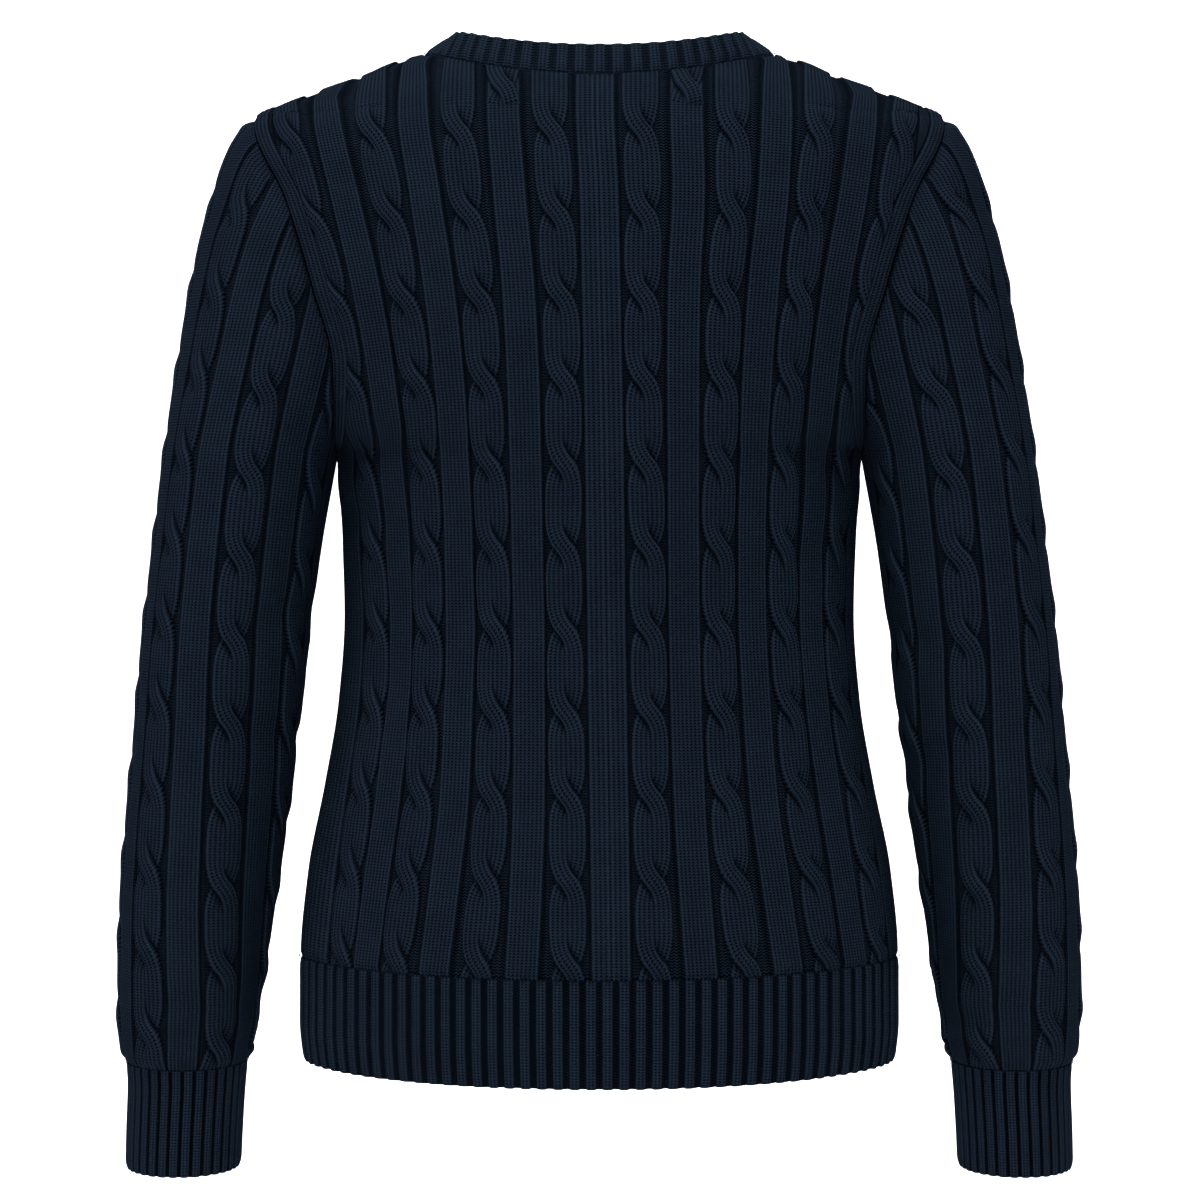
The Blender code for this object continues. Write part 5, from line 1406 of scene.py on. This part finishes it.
# %% The path of the neck seam
def neck_path(side, count):
    """Half of the seam from the middle to the shoulder, and the directions outwards along it. Its
    points lie closer together towards the shoulder, where it turns."""
    share = 1 - (1 - np.linspace(0.0, 1.0, count)) ** 1.6
    x = share * NECK_HALF_WIDTH * 0.9995
    z = neck_seam_height(side, x)
    y = body_depth(side, x, z)
    small = 0.0008               # how far to each side the slope is measured
    before = body_depth(side, np.maximum(x - small, 0.0), z)
    slope_x = (body_depth(side, x + small, z) - before) / (2 * small)
    slope_x[0] = 0.0
    slope_z = (body_depth(side, x, z + small) - body_depth(side, x, z - small)) / (2 * small)
    outward = unit(np.stack([-slope_x, np.ones(count), -slope_z], axis=1))
    sign = 1.0 if side == "back" else -1.0
    outward[:, 1] *= sign
    return np.stack([x, y * sign, z], axis=1), outward


def along(points):
    """The distance travelled up to each point."""
    steps = np.linalg.norm(np.diff(points, axis=0), axis=1)
    return np.concatenate([[0.0], np.cumsum(steps)])


def pick(places, values, wanted):
    """Points or directions at the wanted distances."""
    return np.stack([np.interp(wanted, places, values[:, c]) for c in range(3)], axis=-1)


print("V point", neck_path("front", 3)[0][0].round(4))


# %% The whole seam, and how the band leans away from it
PATH_POINTS = 60
LIFT_BEHIND = 1.5            # how much the band turns up behind the neck
LIFT_ON_SHOULDER = 0.35      # and on the shoulders
front, front_outward = neck_path("front", PATH_POINTS)
back, back_outward = neck_path("back", PATH_POINTS)
half = np.concatenate([front, back[::-1][1:]])
half_outward = np.concatenate([front_outward, back_outward[::-1][1:]])
seam = np.concatenate([half, mirrored(half)[::-1][1:]])
facing_out = np.concatenate([half_outward, mirrored(half_outward)[::-1][1:]])
for _ in range(4):
    facing_out[1:-1] = unit(facing_out[:-2] + 2 * facing_out[1:-1] + facing_out[2:])
tangent = unit(np.gradient(seam, axis=0))
inward = unit(np.cross(facing_out, tangent))
if inward[len(seam) // 2, 2] < 0:
    inward = -inward
behind = smooth_step(seam[:, 1] / 0.07)
on_shoulder = smooth_step((seam[:, 2] + 0.06) / 0.05)
lift = LIFT_BEHIND * behind + LIFT_ON_SHOULDER * on_shoulder
leaning = unit(inward + lift[:, None] * np.array([0.0, 0.0, 1.0]))
facing = unit(np.cross(tangent, leaning))
facing *= np.sign(np.sum(facing * facing_out, axis=1, keepdims=True))
seam_places = along(seam)
print("neck seam", round(float(seam_places[-1]), 3), "m long")

# %% The root of each line of the band, and how wide the band is there
END_SHARE = 0.004            # of the seam's length, left free at each side of the point of the V
LEAST_WIDTH = 0.0006
NECK_CREST = 0.66            # of a rib's pitch
neck_ribs = round(seam_places[-1] / NECK_RIB_PITCH)
wales, places = rib_spread(neck_ribs, NECK_CREST)
band_shares = END_SHARE + places * (1 - 2 * END_SHARE)
wanted = band_shares * seam_places[-1]
root = pick(seam_places, seam, wanted)
start = unit(pick(seam_places, inward, wanted))
lean = unit(pick(seam_places, leaning, wanted))
face_at_seam = unit(pick(seam_places, facing_out, wanted))
face = unit(pick(seam_places, facing, wanted))
on_side = np.where(band_shares < 0.5, 1.0, -1.0)
toward = -lean[:, 0] * on_side
to_middle = np.abs(root[:, 0]) - SEAM_GAP / 2
reach = np.where(toward > 1e-6, np.maximum(to_middle, 0.0) / np.maximum(toward, 1e-6), 1.0)
width = np.maximum(np.minimum(NECKBAND_WIDTH, reach), LEAST_WIDTH)
print(neck_ribs, "ribs, and a band", round(float(width.max()), 4), "m wide")

# %% The neckband
NECK_ROWS = 9
# Painted shade in the neckband's valleys, and painted light over the whole band, as it is lit from
# above.
NECK_VALLEY_SHADE = 0.9
NECK_LIGHT = 1.6
NEAR_V = 0.03                # within this of the middle, no point of the band may cross it
across = np.linspace(0.0, 1.0, NECK_ROWS)
grid = root[:, None] + start[:, None] * SEAM_GAP + lean[:, None] * (
    width[:, None] * across[None, :])[..., None]
blend = smooth_step(across / 0.35)[None, :, None]
marks = unit(face_at_seam[:, None] * (1 - blend) + face[:, None] * blend)
full = 0.35 + 0.65 * smooth_step(across / 0.25) * (0.45 + 0.55 * smooth_step((1 - across) / 0.2))
raised = marks * full[None, :, None]
for n in np.nonzero(to_middle < NEAR_V)[0]:
    grid[n, :, 0] = on_side[n] * np.maximum(grid[n, :, 0] * on_side[n], SEAM_GAP / 2)
raised[0] = 0.0
raised[-1] = 0.0
counts = np.zeros(grid.shape[:2] + (2,))
counts[..., 0] = wales[:, None]
counts[..., 1] = (width[:, None] * across[None, :]) / COURSE
cloth = Cloth()
# Painted light over the neckband and painted shade in its valleys.
shade = NECK_LIGHT * rib_light(wales, NECK_VALLEY_SHADE)[:, None]
outer = cloth.add_grid(grid, counts, raised, shade)
cloth.fill(outer, 0)
inner_lines = np.linspace(0, len(wanted) - 1, 121).astype(int)
inner_across = [0, 4, 8]
inside = grid[inner_lines][:, inner_across] - marks[inner_lines][:, inner_across] * WALL
inside[:, 0] += start[inner_lines] * INNER_STEP
inner = cloth.add_grid(inside, counts[inner_lines][:, inner_across])
cloth.fill(inner, 0)
cloth.close(outer, inner)
piece = cloth.make("ribbed_neckband", [rib_yarn])
through_nodes(piece, raise_ribs, Yarn=rib_yarn)
pieces["neckband"] = piece
print(piece.name, len(piece.data.polygons), "faces")


# %% [markdown]
# ## Linked seams
# The bands are picked up stitch by stitch, which leaves a small loop of yarn at the root of each purl
# valley. One loop is modelled and Geometry Nodes set it along each seam, turned to the cloth.

# %% One loop of yarn
LOOP_YARN = 0.00034          # half the yarn's thickness
LOOP_HALF_WIDTH = 0.0010
LOOP_LENGTH = 0.0009
LOOP_HEIGHT = 0.0003
LOOP_BENDS = 6


def chain_loop():
    """A bent piece of yarn with four sides, its bow along X and its height along Z."""
    mesh = bpy.data.meshes.new("chain_loop")
    points = []
    for i in range(LOOP_BENDS + 1):
        turn = math.pi * i / LOOP_BENDS
        out = Vector((math.cos(turn), math.sin(turn), 0.0))
        middle = Vector((LOOP_HALF_WIDTH * out.x, LOOP_LENGTH * out.y - 0.0004,
                         LOOP_HEIGHT * out.y))
        for j in range(4):
            around = math.pi / 2 * j + math.pi / 4
            side = out * math.cos(around) + Vector((0, 0, math.sin(around)))
            points.append(middle + LOOP_YARN * side)
    faces = [(4 * i + j, 4 * i + (j + 1) % 4, 4 * i + 4 + (j + 1) % 4, 4 * i + 4 + j)
             for i in range(LOOP_BENDS) for j in range(4)]
    last = 4 * LOOP_BENDS
    faces += [(3, 2, 1, 0), (last, last + 1, last + 2, last + 3)]
    mesh.from_pydata(points, [], faces)
    work = bmesh.new()
    work.from_mesh(mesh)
    bmesh.ops.recalc_face_normals(work, faces=work.faces)
    work.to_mesh(mesh)
    work.free()
    shades = mesh.attributes.new("shade", "FLOAT", "POINT")
    shades.data.foreach_set("value", np.ones(len(mesh.vertices)))
    mesh.shade_smooth()
    return bpy.data.objects.new("chain_loop", mesh)


one_loop = chain_loop()
print("a loop has", len(one_loop.data.polygons), "faces")


# %% The node tree that sets loops along a seam
def seam_tree():
    """Turns the seam's edges to a curve, steps along it, and sets a loop upright at each step."""
    tree = bpy.data.node_groups.new("link_seam", "GeometryNodeTree")
    face = tree.interface
    face.new_socket("Geometry", in_out="INPUT", socket_type="NodeSocketGeometry")
    face.new_socket("Pitch", in_out="INPUT", socket_type="NodeSocketFloat")
    face.new_socket("Loop", in_out="INPUT", socket_type="NodeSocketObject")
    face.new_socket("Yarn", in_out="INPUT", socket_type="NodeSocketMaterial")
    face.new_socket("Geometry", in_out="OUTPUT", socket_type="NodeSocketGeometry")
    entry = tree.nodes.new("NodeGroupInput")
    leave = tree.nodes.new("NodeGroupOutput")

    def node(kind, **sockets):
        made = tree.nodes.new(kind)
        for name, value in sockets.items():
            tree.links.new(value, made.inputs[name.replace("_", " ")])
        return made

    curve = node("GeometryNodeMeshToCurve", Mesh=entry.outputs["Geometry"])
    even = node("GeometryNodeResampleCurve", Curve=curve.outputs[0])
    even.mode = "LENGTH"
    tree.links.new(entry.outputs["Pitch"], even.inputs["Length"])
    outward = tree.nodes.new("GeometryNodeInputNamedAttribute")
    outward.data_type = "FLOAT_VECTOR"
    outward.inputs["Name"].default_value = "outward"
    tangent = tree.nodes.new("GeometryNodeInputTangent")
    upright = node("FunctionNodeAlignRotationToVector", Vector=outward.outputs["Attribute"])
    upright.axis = "Z"
    turned = node("FunctionNodeAlignRotationToVector", Rotation=upright.outputs[0],
                  Vector=tangent.outputs[0])
    turned.axis = "X"
    turned.pivot_axis = "Z"
    loop = node("GeometryNodeObjectInfo", Object=entry.outputs["Loop"])
    placed = node("GeometryNodeInstanceOnPoints", Points=even.outputs[0],
                  Instance=loop.outputs["Geometry"], Rotation=turned.outputs[0])
    real = node("GeometryNodeRealizeInstances", Geometry=placed.outputs[0])
    paint = node("GeometryNodeSetMaterial", Geometry=real.outputs[0],
                 Material=entry.outputs["Yarn"])
    tree.links.new(paint.outputs[0], leave.inputs[0])
    return tree


link_seam = seam_tree()
print("seam tree with", len(link_seam.nodes), "nodes")


# %% Loops along any seam
def even_yarn(tree, wale, course):
    """The yarn of the loops is one height all over, because each loop is a shape of its own."""
    return calculate(tree, "ADD", 0.62, 0.0)


seam_yarn = yarn_material("navy_seam_yarn", even_yarn, NAVY_IN_SHADE, NAVY_LIT, 0.0003)


def linked_seam(name, runs, pitch):
    """Runs are pairs of points and outward directions, one for each stretch of the seam."""
    points = np.concatenate([run[0] for run in runs])
    outward = np.concatenate([run[1] for run in runs])
    edges = []
    size = 0
    for run in runs:
        edges += [(size + i, size + i + 1) for i in range(len(run[0]) - 1)]
        size += len(run[0])
    mesh = bpy.data.meshes.new(name)
    mesh.from_pydata(points.tolist(), edges, [])
    marks = mesh.attributes.new("outward", "FLOAT_VECTOR", "POINT")
    marks.data.foreach_set("vector", outward.ravel())
    piece = bpy.data.objects.new(name, mesh)
    bpy.context.scene.collection.objects.link(piece)
    through_nodes(piece, link_seam, Pitch=pitch, Loop=one_loop, Yarn=seam_yarn)
    pieces[name] = piece
    print(name, len(piece.data.polygons), "faces")


# %% Link the hem, the cuffs and the neckband
HEM_LIFT = 0.0016            # how far out of the cloth's form the loops stand
CUFF_LIFT = 0.0013
NECK_LIFT = 0.0014


def level_run(form, height, lift):
    """Points and outward directions once round a form at a height."""
    row = int(np.argmin(np.abs(form.heights - height)))
    return form.points[row] + form.outward[row] * lift, form.outward[row]


for side in ("back", "front"):
    run = level_run(forms[side], HEM_SEAM, HEM_LIFT)
    linked_seam(f"hem_seam_{side}", [run], along(run[0])[-1] / HEM_RIBS)
for side in ("left", "right"):
    run = level_run(forms[f"sleeve_{side}"], CUFF_SEAM, CUFF_LIFT)
    linked_seam(f"cuff_seam_{side}", [run], along(run[0])[-1] / CUFF_RIBS)
lifted = root + face_at_seam * NECK_LIFT
linked_seam("neck_seam", [(lifted, face_at_seam)], along(lifted)[-1] / neck_ribs)


# %% [markdown]
# ## Each piece takes its solid's place
# A knitted piece hides the plain solid that it stands for and rides on the same body. Its cables and
# the loops of its seam belong to it.

# %% Ride and replace
def settle(name, node, with_names=()):
    """Puts a piece in its solid's place, with its cables and loops."""
    piece = pieces[name]
    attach(piece, "root")
    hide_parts(node)
    for other in with_names:
        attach(pieces[other], "root")


settle("body_back", "body_back",
       with_names=["cables_back", "hem_seam_back"])
settle("body_front", "body_front",
       with_names=["cables_front", "hem_seam_front"])
for side in ("left", "right"):
    settle(f"sleeve_{side}", f"sleeve_{side}",
           with_names=[f"cables_sleeve_{side}", f"cuff_seam_{side}"])
    settle(f"cuff_{side}", f"cuff_{side}")
settle("hem_rib_back", "hem_rib_back")
settle("hem_rib_front", "hem_rib_front")
settle("neckband", "neckband", with_names=["neck_seam"])
print("pieces", sorted(pieces))


# %% [markdown]
# ## Light and camera
# The sweater is seen from behind, straight on, from about two metres. The light is soft and even, as in
# a studio: broad panels above, behind the camera, on each side and beyond the sweater. A pale floor
# runs up into a pale wall, which has a panel of its own. The colours are shown plainly, without a
# film-like curve, so that the white stays white.

# %% Floor and wall
FLOOR = -0.80
WALL_AT = -3.2
BEND = 0.6                   # radius of the bend between floor and wall
BEND_STEPS = 12


def pale_ground():
    """A sheet of paper that bends up from the floor into the wall, as in a studio."""
    profile = [(4.0, FLOOR)]
    for i in range(BEND_STEPS + 1):
        turn = i / BEND_STEPS * math.pi / 2
        profile.append((WALL_AT + BEND - BEND * math.sin(turn), FLOOR + BEND - BEND * math.cos(turn)))
    profile.append((WALL_AT, 4.0))
    points = [(x, y, z) for y, z in profile for x in (-6.0, 6.0)]
    faces = [(2 * i, 2 * i + 1, 2 * i + 3, 2 * i + 2) for i in range(len(profile) - 1)]
    mesh = bpy.data.meshes.new("pale_floor")
    mesh.from_pydata(points, [], faces)
    mesh.shade_smooth()
    material = bpy.data.materials.new("pale_paper")
    material.use_nodes = True
    shader = material.node_tree.nodes["Principled BSDF"]
    shader.inputs["Base Color"].default_value = (0.93, 0.93, 0.93, 1.0)
    shader.inputs["Roughness"].default_value = 0.9
    shader.inputs["Specular IOR Level"].default_value = 0.1
    mesh.materials.append(material)
    ground = bpy.data.objects.new("pale_floor", mesh)
    bpy.context.scene.collection.objects.link(ground)
    print(ground.name, len(faces), "faces")


pale_ground()


# %% Lamps
def soft_lamp(name, place, target, size, watts):
    """A broad lamp at a place, turned to its target."""
    lamp = bpy.data.lights.new(name, "AREA")
    lamp.shape = "RECTANGLE"
    lamp.size = size[0]
    lamp.size_y = size[1]
    lamp.energy = watts
    holder = bpy.data.objects.new(name, lamp)
    holder.location = place
    aim = Vector(target) - Vector(place)
    holder.rotation_euler = aim.to_track_quat("-Z", "Y").to_euler()
    bpy.context.scene.collection.objects.link(holder)


MIDDLE = (0.0, 0.0, -0.32)
soft_lamp("lamp_above", (0.25, 0.9, 2.2), (0.0, 0.0, -0.1), (1.6, 1.0), 122.0)
soft_lamp("lamp_behind_camera", (0.2, 3.0, 0.3), MIDDLE, (2.2, 1.8), 24.0)
soft_lamp("lamp_left", (2.3, 0.9, 0.0), MIDDLE, (1.0, 1.8), 22.0)
soft_lamp("lamp_right", (-2.3, 0.9, 0.0), MIDDLE, (1.0, 1.8), 18.5)
soft_lamp("lamp_front", (0.4, -2.3, 1.2), MIDDLE, (1.4, 1.2), 50.0)
soft_lamp("lamp_wall", (0.0, -1.9, 2.3), (0.0, WALL_AT, -0.3), (3.8, 1.0), 110.0)
print("6 lamps")

# %% The studio's own light, and plain colours
world = bpy.data.worlds.new("studio")
world.use_nodes = True
world.node_tree.nodes["Background"].inputs["Color"].default_value = (1.0, 1.0, 1.0, 1.0)
world.node_tree.nodes["Background"].inputs["Strength"].default_value = 0.42
scene = bpy.context.scene
scene.world = world
scene.view_settings.view_transform = "Standard"
scene.view_settings.look = "None"

# %% Camera at the photograph's angle
CAMERA_DISTANCE = 2.0
CAMERA_HEIGHT = -0.25
FRAME_WIDTH = 0.708          # of the picture at the sweater's middle plane
FRAME_MIDDLE = -0.3245       # the height in the middle of the picture
FRAME_ASIDE = 0.0004
SENSOR = 36.0                # millimetres
camera_data = bpy.data.cameras.new("camera")
camera_data.sensor_width = SENSOR
camera_data.lens = SENSOR * CAMERA_DISTANCE / FRAME_WIDTH
camera_data.shift_y = (FRAME_MIDDLE - CAMERA_HEIGHT) / FRAME_WIDTH
camera_data.shift_x = FRAME_ASIDE / FRAME_WIDTH
camera = bpy.data.objects.new("camera", camera_data)
camera.location = (0.0, CAMERA_DISTANCE, CAMERA_HEIGHT)
camera.rotation_euler = (math.pi / 2, 0.0, math.pi)
scene.collection.objects.link(camera)
scene.camera = camera
print("camera lens", round(camera_data.lens, 1), "shift", round(camera_data.shift_y, 3))
